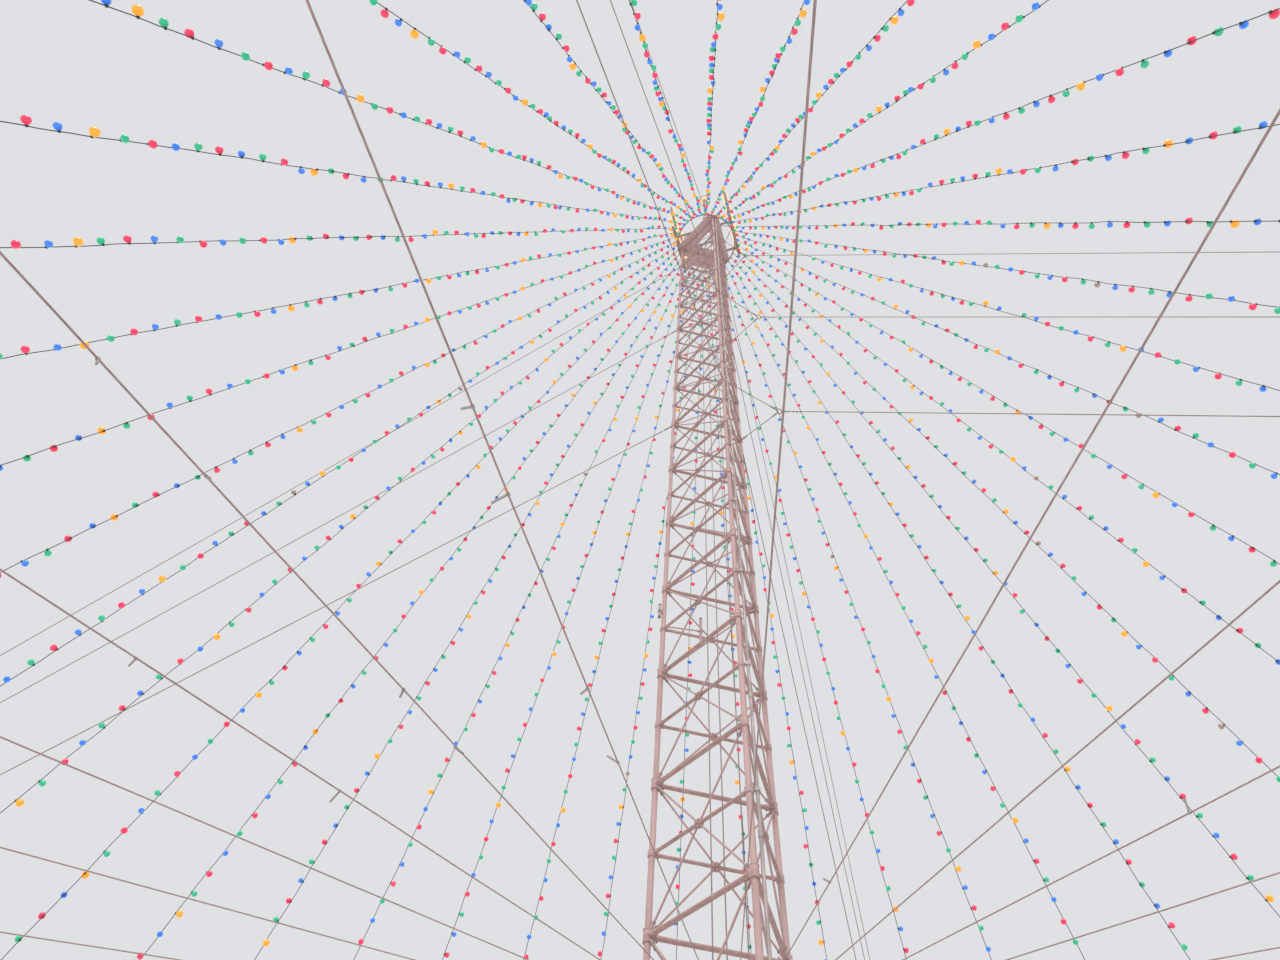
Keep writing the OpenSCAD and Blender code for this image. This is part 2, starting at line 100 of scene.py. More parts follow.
@dataclass(frozen=True)
class MastPlan:
    """Sizes that the sub-assemblies share, as in the CAD source."""

    face_width: float = 0.914
    bay_height: float = 1.2
    bays: int = 16
    first_node: float = 0.635
    plate_top: float = 0.465
    leg_bearings: Sizes = (180.0, -60.0, 60.0)
    ring_radius: float = 0.6
    spoke_seat: float = 0.044
    lug_length: float = 0.04
    string_count: int = 39
    string_phase: float = -1.0
    stake_radius: float = 9.15
    stake_height: float = 0.3
    string_low: float = 0.275
    tether_node: int = 2
    tether_rise: float = 0.36
    tie_height: float = 1.735
    tie_length: float = 0.06
    guy_radius: float = 19.2
    guy_bearings: Sizes = (0.0, 90.0, 180.0, 270.0)
    guy_legs: tuple[tuple[int, ...], ...] = ((1, 2), (2,), (0,), (1,))
    guy_nodes: tuple[int, ...] = (9, 12, 15)
    guy_low: float = 0.29
    guy_step: float = 0.09
    guy_lug: float = 0.11
    guy_socket: float = 0.078
    bridle_length: float = 0.7
    bridle_ring: float = 0.034
    collar_top: float = 22.022
    pole_height: float = 1.75

    @property
    def nodes(self) -> list[float]:
        """The heights of the nodes."""
        return [self.first_node + n * self.bay_height for n in range(self.bays + 1)]

    @property
    def halves(self) -> list[float]:
        """The heights of the couplings in the middle of the bays."""
        return [self.first_node + (n + 0.5) * self.bay_height for n in range(self.bays)]

    @property
    def ring_heights(self) -> tuple[float, float]:
        """The heights of the ring that holds the tethers and of the ring at the head."""
        return self.nodes[self.tether_node] + self.tether_rise, self.nodes[-1]

    def leg(self, index: int, height: float) -> Vector:
        """The centre of a leg at a height."""
        return polar(self.face_width / math.sqrt(3.0), self.leg_bearings[index % 3], height)

    def string_bearing(self, index: int) -> float:
        """Bearing of a lamp string and of the tether under it."""
        return self.string_phase + index * 360.0 / self.string_count

    def string_line(self, index: int) -> Line:
        """A lamp string's points on the head ring and on its stake."""
        ends = ((self.ring_radius, self.nodes[-1]), (self.stake_radius, self.string_low))
        return tuple(polar(radius, self.string_bearing(index), height) for radius, height in ends)

    def tie_point(self, index: int) -> Vector:
        """Where a tether ties back its lamp string."""
        top, low = self.string_line(index)
        return top.lerp(low, (top.z - self.tie_height) / (top.z - low.z))

    @property
    def strings(self) -> list[Line]:
        """Lug ends of each lamp string, at the head ring and at its stake."""
        lug = self.lug_length
        return [drawn_in(*self.string_line(k), lug, lug) for k in range(self.string_count)]

    @property
    def tethers(self) -> list[Line]:
        """Lug ends of each tether, at the low ring and at its lamp string.

        Returns:
            The lines.
        """
        lug, count = self.lug_length, range(self.string_count)
        tops = [polar(self.ring_radius, self.string_bearing(k), self.ring_heights[0]) for k in count]
        return [drawn_in(top, self.tie_point(k), lug, lug) for k, top in enumerate(tops)]

    def guy_foot(self, side: int, level: int) -> Vector:
        """Where a guy meets its anchor post."""
        return polar(self.guy_radius, self.guy_bearings[side], self.guy_low + level * self.guy_step)

    def guy_head(self, side: int, level: int) -> Vector:
        """The point that a guy aims at, on its leg or at the centre of its bridle ring.

        Args:
            side: the number of its bearing.
            level: its number on that side, from below.

        Returns:
            The point.
        """
        feet = [self.leg(i, self.nodes[self.guy_nodes[level]]) for i in self.guy_legs[side]]
        middle = sum(feet, Vector()) / len(feet)
        foot = self.guy_foot(side, level)
        return middle if len(feet) == 1 else toward(middle, foot, self.bridle_length)

    def guys(self, side: int) -> list[Line]:
        """Socket ends of a side's guys, at the mast or a bridle ring and at the anchor post.

        Args:
            side: the number of its bearing.

        Returns:
            The lines, from below.
        """
        seat = self.guy_socket if len(self.guy_legs[side]) == 1 else self.bridle_ring + self.lug_length
        return [
            drawn_in(self.guy_head(side, level), self.guy_foot(side, level), seat, self.guy_lug)
            for level in range(len(self.guy_nodes))
        ]

    @property
    def bridles(self) -> list[Line]:
        """Socket ends of the bridle ropes of the first side, at a leg and at a bridle ring."""
        ends = (self.guy_socket, self.bridle_ring + self.lug_length)
        return [
            drawn_in(self.leg(leg, self.nodes[node]), self.guy_head(0, level), *ends)
            for leg in self.guy_legs[0]
            for level, node in enumerate(self.guy_nodes)
        ]


PLAN = MastPlan()


class Wiring:
    """Adds nodes to one node tree. A node that is given as a value stands for its first output."""

    def __init__(self, tree: Tree) -> None:
        """Keeps the tree that the nodes go into."""
        self.tree = tree

    def add(self, kind: str, feeds: Feeds | None = None, **settings: Any) -> Node:
        """Adds a node.

        Args:
            kind: Blender's name of the node type.
            feeds: what each input gets.
            **settings: the node's own properties, set before its inputs.

        Returns:
            The new node.
        """
        node = self.tree.nodes.new(kind)
        for key, value in settings.items():
            setattr(node, key, value)
        self.feed(node, feeds or {})
        return node

    def feed(self, node: Node, feeds: Feeds) -> None:
        """Links or writes a node's inputs.

        Args:
            node: the node.
            feeds: a value, a socket or a node for each input, by the input's number or name.
        """
        for key, value in feeds.items():
            named = (s for s in node.inputs if s.name == key and s.enabled)
            inlet = node.inputs[key] if isinstance(key, int) else next(named)
            given = self.out(value) if isinstance(value, Node) else value
            if isinstance(given, Socket):
                self.tree.links.new(given, inlet)
            else:
                inlet.default_value = given

    @staticmethod
    def out(node: Node, key: str | int = 0) -> Socket:
        """The output that is in use under a number or a name."""
        used = [s for s in node.outputs if s.enabled]
        return used[key] if isinstance(key, int) else next(s for s in used if s.name == key)

    def maths(self, operation: str, *values: Any) -> Node:
        """One step of arithmetic on numbers."""
        return self.add("ShaderNodeMath", dict(enumerate(values)), operation=operation)

    def times(self, value: Any, factor: Any, *plus: Any) -> Node:
        """A number times another, with a third added where there is one."""
        return self.maths("MULTIPLY_ADD" if plus else "MULTIPLY", value, factor, *plus)

    def less(self, value: Any, taken: Any) -> Node:
        """A number less another."""
        return self.maths("SUBTRACT", value, taken)

    def unit(self, value: Any) -> Node:
        """A number cut off below 0 and above 1."""
        return self.maths("MINIMUM", self.maths("MAXIMUM", value, 0.0), 1.0)

    def vector(self, operation: str, *values: Any) -> Node:
        """One step of arithmetic on vectors."""
        keys = (0, "Scale") if operation == "SCALE" else range(len(values))
        return self.add("ShaderNodeVectorMath", dict(zip(keys, values)), operation=operation)

    def xyz(self, *parts: Any) -> Node:
        """A vector from up to three numbers."""
        return self.add("ShaderNodeCombineXYZ", dict(zip("XYZ", parts)))

    def part(self, place: Any, axis: str) -> Socket:
        """One of a vector's three numbers."""
        return self.out(self.add("ShaderNodeSeparateXYZ", {0: place}), axis)

    def span(self, value: Any, low: float, high: float, *ends: float) -> Node:
        """Maps a range of numbers to another, or to 0 and 1, and stops at its ends."""
        given = (value, low, high, *(ends or (0.0, 1.0)))
        return self.add("ShaderNodeMapRange", dict(enumerate(given)))

    def blend(self, share: Any, first: Any, second: Any) -> Node:
        """Mixes two colours by a mask."""
        return self.add("ShaderNodeMix", {"Factor": share, "A": first, "B": second}, data_type="RGBA")

    def noise(self, place: Any, scale: Any, detail: float = 3.0, roughness: float = 0.55) -> Node:
        """A noise texture at a place."""
        feeds = {"Vector": place, "Scale": scale, "Detail": detail, "Roughness": roughness}
        return self.add("ShaderNodeTexNoise", feeds)

    def bump(self, height: Any, strength: float, distance: float) -> Node:
        """The normal of a relief."""
        return self.add("ShaderNodeBump", {"Strength": strength, "Distance": distance, "Height": height})

    def carried(self, name: str, output: str = "Fac") -> Socket:
        """What a mesh carries under a name, for a material."""
        return self.out(self.add("ShaderNodeAttribute", attribute_name=name), output)

    def pattern(self, build: Callable[[], Tree], **feeds: Any) -> Node:
        """Places a shader node group, which is built when it is first used."""
        return self.add("ShaderNodeGroup", feeds, node_tree=build())


class Group(Wiring):
    """The wiring of a new node group with named inputs and one output."""

    kind, result, result_type = "ShaderNodeTree", "Mask", "Float"

    def __init__(self, name: str, **takes: Any) -> None:
        """Makes the group.

        Args:
            name: its name.
            **takes: its inputs, with an underscore for a space, each with its default or,
                where it has none, its type.
        """
        super().__init__(bpy.data.node_groups.new(name, self.kind))
        make = self.tree.interface.new_socket
        for key, value in takes.items():
            typed = isinstance(value, str)
            kind = value if typed else type(value).__name__.capitalize()
            socket = make(key.replace("_", " "), in_out="INPUT", socket_type=f"NodeSocket{kind}")
            if not typed:
                socket.default_value = value
        make(self.result, in_out="OUTPUT", socket_type=f"NodeSocket{self.result_type}")
        self.source, self.sink = self.add("NodeGroupInput"), self.add("NodeGroupOutput")

    def __getitem__(self, title: str) -> Socket:
        """One of the group's inputs, seen from inside."""
        return self.source.outputs[title]

    def close(self, result: Any) -> Tree:
        """Feeds the group's output."""
        self.feed(self.sink, {0: result})
        return self.tree


@cache
def rain_streaks() -> Tree:
    """Dirt that runs down a surface, long in Z and narrow across.

    Returns:
        The node group.
    """
    g = Group("rain_streaks", Place="Vector", Scale=30.0, Length=12.0)
    stretch = g.xyz(1.0, 1.0, g.maths("DIVIDE", 1.0, g["Length"]))
    streak = g.noise(g.vector("MULTIPLY", g["Place"], stretch), g["Scale"], 4.0, 0.6)
    return g.close(g.span(streak, 0.48, 0.74))


@cache
def joint_stain() -> Tree:
    """Stain that starts at joints a fixed height apart and fades below them.

    Returns:
        The node group.
    """
    g = Group("joint_stain", Place="Vector", First=0.635, Pitch=1.2, Reach=0.2)
    bays = g.maths("DIVIDE", g.less(g.part(g["Place"], "Z"), g["First"]), g["Pitch"])
    drop = g.times(g.less(1.0, g.maths("FRACT", bays)), g["Pitch"])
    fade = g.less(1.0, g.maths("DIVIDE", drop, g["Reach"]))
    wobble = g.span(g.noise(g["Place"], 22.0), 0.35, 0.7)
    return g.close(g.times(g.maths("MAXIMUM", fade, 0.0), wobble))


@cache
def flakes() -> Tree:
    """Small sharp-edged patches, such as chips in paint or pores in concrete.

    Returns:
        The node group.
    """
    g = Group("flakes", Place="Vector", Scale=60.0, Cover=0.3)
    fine = g.noise(g["Place"], g["Scale"], 5.0, 0.65)
    edge = g.less(1.0, g.times(g["Cover"], 0.5))
    return g.close(g.unit(g.times(g.less(g.times(fine, 1.4), edge), 14.0)))


@cache
def rope_lay() -> Tree:
    """The crowns and grooves of strands that wind round a rope.

    Returns:
        The node group.
    """
    g = Group("rope_lay", Rim="Vector", Run="Float", Strands=6.0, Pitch=0.06)
    turn = g.maths("ARCTAN2", g.part(g["Rim"], "Y"), g.part(g["Rim"], "X"))
    along = g.times(g.maths("DIVIDE", g["Run"], g["Pitch"]), 2.0 * math.pi)
    phase = g.times(g.maths("ADD", turn, along), g["Strands"])
    return g.close(g.maths("POWER", g.times(g.maths("SINE", phase), 0.5, 0.5), 0.6))


@dataclass(frozen=True)
class Finish(ABC):
    """A surface finish that one material gives."""

    name: str
    colour: Colour

    def material(self) -> bpy.types.Material:
        """The finish's material, built when it is first asked for.

        Returns:
            The material.
        """
        title = f"{self.name}_finish"
        found = bpy.data.materials.get(title)
        if found is None:
            found = bpy.data.materials.new(title)
            found.use_nodes = True
            found.diffuse_color = self.colour
            w = Wiring(found.node_tree)
            place = w.out(w.add("ShaderNodeTexCoord"), "Object")
            w.feed(found.node_tree.nodes["Principled BSDF"], self.paint(w, place))
        return found

    def faded(self, share: float, lift: float = 0.0) -> Colour:
        """The finish's colour made darker."""
        return tuple(c * share + lift for c in self.colour[:3]) + (1.0,)

    @abstractmethod
    def paint(self, w: Wiring, place: Socket) -> Feeds:
        """Adds the finish's nodes.

        Args:
            w: the material's wiring.
            place: Object coordinates.

        Returns:
            What the shader's inputs get.
        """


@dataclass(frozen=True)
class WeatheredPaint(Finish):
    """Paint that years outdoors have made chalky, streaked and chipped."""

    grime: Colour = (0.23, 0.20, 0.17, 1.0)
    rust: Colour = (0.26, 0.10, 0.045, 1.0)
    bare: Colour = (0.36, 0.35, 0.34, 1.0)
    streaks: float = 0.45
    stain: float = 0.55
    stain_reach: float = 0.17
    chips: float = 0.32
    gloss: float = 0.62
    sheen: float = 0.3

    def paint(self, w: Wiring, place: Socket) -> Feeds:
        """Mixes chalk, streaks, stain under each joint and chips over the paint.

        Args:
            w: the material's wiring.
            place: Object coordinates.

        Returns:
            What the shader's inputs get.
        """
        chalk = w.span(w.noise(place, 1.7, 5.0), 0.35, 0.68)
        streak = w.pattern(rain_streaks, Place=place, Scale=34.0, Length=14.0)
        joints = {"First": PLAN.first_node, "Pitch": PLAN.bay_height / 2.0, "Reach": self.stain_reach}
        stain = w.pattern(joint_stain, Place=place, **joints)
        chip = w.pattern(flakes, Place=place, Scale=48.0, Cover=self.chips)
        base = w.blend(chalk, self.colour, self.faded(0.86))
        base = w.blend(w.times(streak, self.streaks), base, self.grime)
        base = w.blend(w.times(stain, self.stain), base, self.rust)
        brush = w.noise(place, 420.0, 2.0)
        return {
            "Base Color": w.blend(chip, base, self.bare),
            "Specular IOR Level": self.sheen,
            "Roughness": w.times(chip, 0.15, w.times(streak, 0.2, self.gloss)),
            "Normal": w.bump(w.less(brush, w.times(chip, 1.6)), 0.35, 0.0006),
        }


@dataclass(frozen=True)
class Galvanised(Finish):
    """Hot-dipped zinc with its crystal pattern and dull runs."""

    spangle: float = 90.0
    runs: Colour = (0.30, 0.27, 0.23, 1.0)
    tarnish: Colour = (0.34, 0.32, 0.315, 1.0)
    crystal: Colour = (0.64, 0.61, 0.60, 1.0)
    shine: float = 0.6
    rough: float = 0.42

    def paint(self, w: Wiring, place: Socket) -> Feeds:
        """Varies colour and roughness from crystal to crystal.

        Args:
            w: the material's wiring.
            place: Object coordinates.

        Returns:
            What the shader's inputs get.
        """
        cells = w.add("ShaderNodeTexVoronoi", {"Vector": place, "Scale": self.spangle})
        tone = w.add("ShaderNodeSeparateColor", {0: w.out(cells, "Color")})
        dull = w.span(w.noise(place, 6.0, 4.0), 0.4, 0.7)
        streak = w.pattern(rain_streaks, Place=place, Scale=40.0, Length=9.0)
        base = w.blend(w.times(tone, 0.35), self.colour, self.crystal)
        base = w.blend(w.times(dull, 0.7), base, self.tarnish)
        return {
            "Base Color": w.blend(w.times(streak, 0.35), base, self.runs),
            "Metallic": w.times(dull, -0.35, self.shine),
            "Roughness": w.times(tone, 0.2, w.times(dull, 0.2, self.rough)),
            "Normal": w.bump(tone, 0.12, 0.0004),
        }


@dataclass(frozen=True)
class StrandedRope(Finish):
    """Rope or twisted cable whose strands wind round it."""

    # the colour of the grooves between the strands, which is painted shade
    groove: Colour
    strands: float
    pitch: float
    rough: float
    depth: float
    metal: float = 0.0

    def paint(self, w: Wiring, place: Socket) -> Feeds:
        """Darkens the grooves between the strands with painted shade, from what the rope's mesh carries.

        Args:
            w: the material's wiring.
            place: Object coordinates.

        Returns:
            What the shader's inputs get.
        """
        course = {"Rim": w.carried("rim", "Vector"), "Run": w.carried("run")}
        crown = w.pattern(rope_lay, **course, Strands=self.strands, Pitch=self.pitch * self.strands)
        weather = w.span(w.noise(place, 3.5, 4.0), 0.38, 0.7)
        base = w.blend(w.times(weather, 0.7), self.colour, self.faded(0.6, 0.03))
        return {
            # The grooves take the darker colour, which is painted shade between the strands.
            "Base Color": w.blend(crown, self.groove, base),
            "Metallic": w.times(weather, -0.25 * self.metal, self.metal) if self.metal else 0.0,
            "Roughness": w.times(weather, 0.25, self.rough),
            "Normal": w.bump(crown, self.depth, 0.001),
        }


@dataclass(frozen=True)
class CastConcrete(Finish):
    """Concrete cast in boards, with pores, runs and damp near the ground."""

    runs: Colour = (0.26, 0.24, 0.21, 1.0)
    # the colour of the pores, which is painted shade in the holes
    pores: Colour = (0.20, 0.19, 0.175, 1.0)
    damp: Colour = (0.20, 0.185, 0.165, 1.0)
    board: float = 0.15
    seam_width: float = 0.004
    damp_height: float = 0.16

    def paint(self, w: Wiring, place: Socket) -> Feeds:
        """Mixes cloudy cement, board joints, pores and a damp foot.

        Args:
            w: the material's wiring.
            place: Object coordinates.

        Returns:
            What the shader's inputs get.
        """
        height = w.part(place, "Z")
        cloud = w.span(w.noise(place, 4.0, 6.0), 0.32, 0.7)
        streak = w.pattern(rain_streaks, Place=place, Scale=14.0, Length=6.0)
        pore = w.pattern(flakes, Place=place, Scale=210.0, Cover=0.27)
        wet = w.span(w.times(cloud, -0.08, height), 0.0, self.damp_height, 0.75, 0.0)
        base = w.blend(cloud, self.colour, self.faded(0.76))
        base = w.blend(w.times(streak, 0.4), base, self.runs)
        # The pores are darkened with painted shade.
        base = w.blend(w.times(pore, 0.5), base, self.pores)
        seam = w.span(w.maths("PINGPONG", height, self.board / 2.0), 0.0, self.seam_width)
        grit = w.times(w.noise(place, 160.0, 4.0), 0.5)
        return {
            "Base Color": w.blend(wet, base, self.damp),
            "Roughness": w.times(wet, -0.3, 0.92),
            "Normal": w.bump(w.maths("ADD", grit, w.less(seam, pore)), 0.6, 0.0016),
        }


@dataclass(frozen=True)
class LampGlass(Finish):
    """Tinted glass of a lamp that glows most round its middle."""

    core: Colour
    glow: float
    coat: float = 0.4
    coat_roughness: float = 0.05

    def paint(self, w: Wiring, place: Socket) -> Feeds:
        """Lights the glass along the lamp by the warmth that its mesh carries.

        Args:
            w: the material's wiring.
            place: Object coordinates.

        Returns:
            What the shader's inputs get.
        """
        warmth = w.carried("warmth")
        speck = w.span(w.noise(place, 260.0, 2.0), 0.3, 0.7, 0.75, 1.0)
        heart = w.times(w.maths("POWER", warmth, 1.5), speck)
        return {
            "Base Color": w.blend(w.times(warmth, 0.25), self.colour, self.core),
            "Emission Color": w.blend(w.times(heart, 0.55), self.colour, self.core),
            "Emission Strength": self.glow,
            "Roughness": w.times(speck, -0.1, 0.22),
            "Coat Weight": self.coat,
            "Coat Roughness": self.coat_roughness,
        }


@dataclass(frozen=True)
class MouldedRubber(Finish):
    """Moulded sheath or lamp holder, dusty and a little scuffed."""

    dust: Colour = (0.22, 0.20, 0.17, 1.0)

    def paint(self, w: Wiring, place: Socket) -> Feeds:
        """Lays dust on the sheath and roughens it.

        Args:
            w: the material's wiring.
            place: Object coordinates.

        Returns:
            What the shader's inputs get.
        """
        settle = w.span(w.noise(place, 45.0, 4.0), 0.45, 0.75)
        return {
            "Base Color": w.blend(w.times(settle, 0.45), self.colour, self.dust),
            "Roughness": w.times(settle, 0.3, 0.5),
            "Normal": w.bump(w.noise(place, 700.0, 2.0), 0.25, 0.0003),
        }


@dataclass(frozen=True)
class PaleStage(Finish):
    """Plain pale floor."""

    def paint(self, w: Wiring, place: Socket) -> Feeds:
        """Gives the floor a faint unevenness."""
        cloud = w.noise(place, 0.35, 3.0)
        return {"Base Color": w.blend(cloud, self.colour, self.faded(0.97)), "Roughness": 0.9}


class Coat(Enum):
    """The finishes of the mast, its ropes and its lamps."""

    # The rose in the paint colours of the legs, braces, rings, deck and dish is partly the paint's own warm
    # tone and partly painted light: the glow of the red lamps laid on the mast.
    LEG = WeatheredPaint("leg_paint", (0.73, 0.49, 0.47, 1.0), streaks=0.3, stain=0.35, chips=0.26)
    BRACE = WeatheredPaint("brace_paint", (0.67, 0.445, 0.425, 1.0), streaks=0.25, stain=0.4, chips=0.26)
    RING = WeatheredPaint("ring_paint", (0.56, 0.41, 0.395, 1.0), chips=0.3)
    # The deck's paint is made paler than the legs' as painted light, to make up for the shade on its
    # underside, the side seen from below.
    DECK = WeatheredPaint(
        "deck_paint_lifted_for_shade", (0.82, 0.60, 0.57, 1.0), streaks=0.25, stain=0.0, chips=0.3, gloss=0.7
    )
    STAR = WeatheredPaint("star_paint", (0.58, 0.52, 0.50, 1.0), streaks=0.25, stain=0.0, chips=0.2)
    DISH = WeatheredPaint(
        "dish_paint", (0.70, 0.60, 0.58, 1.0), streaks=0.2, stain=0.0, chips=0.12, gloss=0.5
    )
    ZINC = Galvanised("zinc", (0.50, 0.475, 0.47, 1.0))
    # The conduit zinc's rose tint is painted light: the red lamps' glow laid on grey zinc.
    PIPE = Galvanised("pipe_zinc", (0.56, 0.44, 0.425, 1.0), crystal=(0.66, 0.54, 0.52, 1.0), shine=0.3)
    BOLT = Galvanised("bolt_zinc", (0.44, 0.40, 0.39, 1.0), spangle=300.0, shine=0.55)
    CONCRETE = CastConcrete("concrete", (0.48, 0.46, 0.43, 1.0))
    # The rose in the wire rope and tether colours is painted light: the glow of the red lamps laid on them,
    # as on the mast.
    WIRE = StrandedRope(
        "wire_rope", (0.52, 0.39, 0.375, 1.0), (0.29, 0.21, 0.205, 1.0),
        strands=6.0, pitch=0.035, rough=0.6, depth=0.4, metal=0.2,
    )
    TETHER = StrandedRope(
        "tether_rope", (0.60, 0.42, 0.40, 1.0), (0.39, 0.265, 0.255, 1.0),
        strands=2.0, pitch=0.045, rough=0.75, depth=0.5,
    )
    CABLE = StrandedRope(
        "lamp_cable", (0.055, 0.085, 0.06, 1.0), (0.015, 0.022, 0.017, 1.0),
        strands=2.0, pitch=0.05, rough=0.5, depth=0.7,
    )
    # The tie strip's rose tone is painted light from the red lamps.
    TIE = MouldedRubber("tie_strip", (0.46, 0.40, 0.38, 1.0), dust=(0.30, 0.27, 0.25, 1.0))
    HOLDER = MouldedRubber("lamp_holder", (0.035, 0.06, 0.042, 1.0))
    AMBER = LampGlass("amber_glass", (1.0, 0.33, 0.01, 1.0), core=(1.0, 0.62, 0.12, 1.0), glow=0.55)
    GREEN = LampGlass("green_glass", (0.0, 0.42, 0.19, 1.0), core=(0.16, 0.85, 0.55, 1.0), glow=0.42)
    RED = LampGlass("red_glass", (0.84, 0.01, 0.08, 1.0), core=(1.0, 0.20, 0.36, 1.0), glow=0.42)
    BLUE = LampGlass("blue_glass", (0.01, 0.16, 0.80, 1.0), core=(0.22, 0.55, 1.0, 1.0), glow=0.42)
    UNLIT = LampGlass("unlit_glass", (0.60, 0.38, 0.34, 1.0), core=(0.78, 0.58, 0.52, 1.0), glow=0.0)
    WHITE = LampGlass("white_glass", (1.0, 0.70, 0.36, 1.0), core=(1.0, 0.92, 0.74, 1.0), glow=0.5)
    FLOOR = PaleStage("pale_floor", (0.76, 0.76, 0.77, 1.0))

    @property
    def material(self) -> bpy.types.Material:
        """The material of this finish."""
        return self.value.material()


@dataclass
class Shape:
    """Collects the corners and faces of one small mesh, and how warm a lamp is at each corner."""

    smooth: bool = False
    corners: list[Vector] = field(default_factory=list)
    faces: list[tuple[int, ...]] = field(default_factory=list)
    warmth: list[float] = field(default_factory=list)

    def lathe(
        self, profile: Profile, sides: int, closed: bool = False, place: Matrix | None = None
    ) -> "Shape":
        """Turns a profile about Z.

        Args:
            profile: pairs of radius and height, upwards along the outside.
            sides: how many flats go round.
            closed: joins the last pair to the first, for a ring.
            place: where the turned shape goes.

        Returns:
            This shape.
        """
        move = place or Matrix.Identity(4)
        rows: list[range] = []
        for radius, height in profile:
            start, count = len(self.corners), sides if radius else 1
            rows.append(range(start, start + count))
            for i in range(count):
                angle = 2.0 * math.pi * i / sides
                corner = Vector((radius * math.cos(angle), radius * math.sin(angle), height))
                self.corners.append(move @ corner)
        for low, high in zip(rows, rows[1:] + (rows[:1] if closed else [])):
            for i in range(sides):
                j = (i + 1) % sides
                ends = (low[i % len(low)], low[j % len(low)], high[j % len(high)], high[i % len(high)])
                face = tuple(dict.fromkeys(ends))
                if len(face) > 2:
                    self.faces.append(face)
        self.faces += [tuple(cap) for cap in (rows[0][::-1], rows[-1]) if len(cap) > 1 and not closed]
        return self

    def band(self, inner: float, outer: float, low: float, high: float, sides: int) -> "Shape":
        """Adds a plain ring round Z."""
        return self.lathe(((inner, low), (outer, low), (outer, high), (inner, high)), sides, closed=True)

    def box(self, low: Sequence[float], high: Sequence[float]) -> "Shape":
        """Adds a block.

        Args:
            low: its lowest corner.
            high: its highest corner.

        Returns:
            This shape.
        """
        start = len(self.corners)
        flat = ((low[0], low[1]), (high[0], low[1]), (high[0], high[1]), (low[0], high[1]))
        self.corners += [Vector((x, y, z)) for z in (low[2], high[2]) for x, y in flat]
        faces = ((3, 2, 1, 0), (4, 5, 6, 7), (0, 1, 5, 4), (1, 2, 6, 5), (2, 3, 7, 6), (3, 0, 4, 7))
        self.faces += [tuple(start + i for i in face) for face in faces]
        return self

    def tube(self, path: Sequence[Vector], radius: float, sides: int) -> "Shape":
        """Sweeps a round section along a path.

        Args:
            path: the points of the centre line.
            radius: of the section.
            sides: how many flats go round.

        Returns:
            This shape.
        """
        start, last = len(self.corners), len(path) - 1
        side = Vector()
        for i, point in enumerate(path):
            axis = (path[min(i + 1, last)] - path[max(i - 1, 0)]).normalized()
            side = side if i else axis.orthogonal().normalized()
            side = (side - axis * side.dot(axis)).normalized()
            other = axis.cross(side)
            for j in range(sides):
                angle = 2.0 * math.pi * j / sides
                self.corners.append(point + (side * math.cos(angle) + other * math.sin(angle)) * radius)
        for i in range(last):
            a, b = start + i * sides, start + (i + 1) * sides
            self.faces += [(a + j, a + (j + 1) % sides, b + (j + 1) % sides, b + j) for j in range(sides)]
        end = range(start + last * sides, start + (last + 1) * sides)
        self.faces += [tuple(reversed(range(start, start + sides))), tuple(end)]
        return self

    def lit(self, warm: Callable[[float], float]) -> "Shape":
        """Sets the warmth at each corner from its height, between 0 and 1."""
        self.warmth = [min(1.0, max(0.0, warm(corner.z))) for corner in self.corners]
        return self

    def mesh(self, name: str) -> Mesh:
        """Makes the mesh.

        Args:
            name: its name.

        Returns:
            The mesh.
        """
        made = bpy.data.meshes.new(name)
        made.from_pydata([tuple(c) for c in self.corners], [], self.faces)
        made.validate()
        made.polygons.foreach_set("use_smooth", [self.smooth] * len(made.polygons))
        if self.warmth:
            made.attributes.new("warmth", "FLOAT", "POINT").data.foreach_set("value", self.warmth)
        return made


@dataclass(frozen=True)
class Spot:
    """A place for one fitting, with the way it faces and the way its X side turns."""

    point: Vector
    facing: Vector
    across: Vector | None = None


@dataclass(frozen=True)
class Run:
    """A straight line that a rope or a row of lamps follows.

    It says how many lamps it takes and the first one's place in the colour order.
    """

    start: Vector
    end: Vector
    lamps: int = 2
    first: int = 0


def seed_mesh(
    points: Iterable[Vector], edges: Sequence[tuple[int, int]], layers: dict[str, list[Any]]
) -> Mesh:
    """A mesh without faces that a tree grows a piece from.

    Args:
        points: its points.
        edges: pairs of their numbers.
        layers: what the points carry under each name, whole numbers or vectors.

    Returns:
        The mesh.
    """
    made = bpy.data.meshes.new("seed")
    made.from_pydata([tuple(p) for p in points], edges, [])
    for title, values in layers.items():
        if isinstance(values[0], Vector):
            layer = made.attributes.new(title, "FLOAT_VECTOR", "POINT")
            layer.data.foreach_set("vector", [c for v in values for c in v])
        else:
            made.attributes.new(title, "INT", "POINT").data.foreach_set("value", values)
    return made


def spots_mesh(spots: Sequence[Spot]) -> Mesh:
    """The spots as points that carry their directions.

    Args:
        spots: the spots.

    Returns:
        The mesh.
    """
    facing = [spot.facing.normalized() for spot in spots]
    across = [(spot.across or spot.facing.orthogonal()).normalized() for spot in spots]
    return seed_mesh([spot.point for spot in spots], [], {"facing": facing, "across": across})


def runs_mesh(runs: Sequence[Run]) -> Mesh:
    """The runs as loose edges that carry their lamps' numbers.

    Args:
        runs: the runs.

    Returns:
        The mesh.
    """
    points = [point for run in runs for point in (run.start, run.end)]
    twice = [run for run in runs for _ in range(2)]
    layers = {"lamps": [run.lamps for run in twice], "first": [run.first for run in twice]}
    return seed_mesh(points, [(2 * i, 2 * i + 1) for i in range(len(runs))], layers)


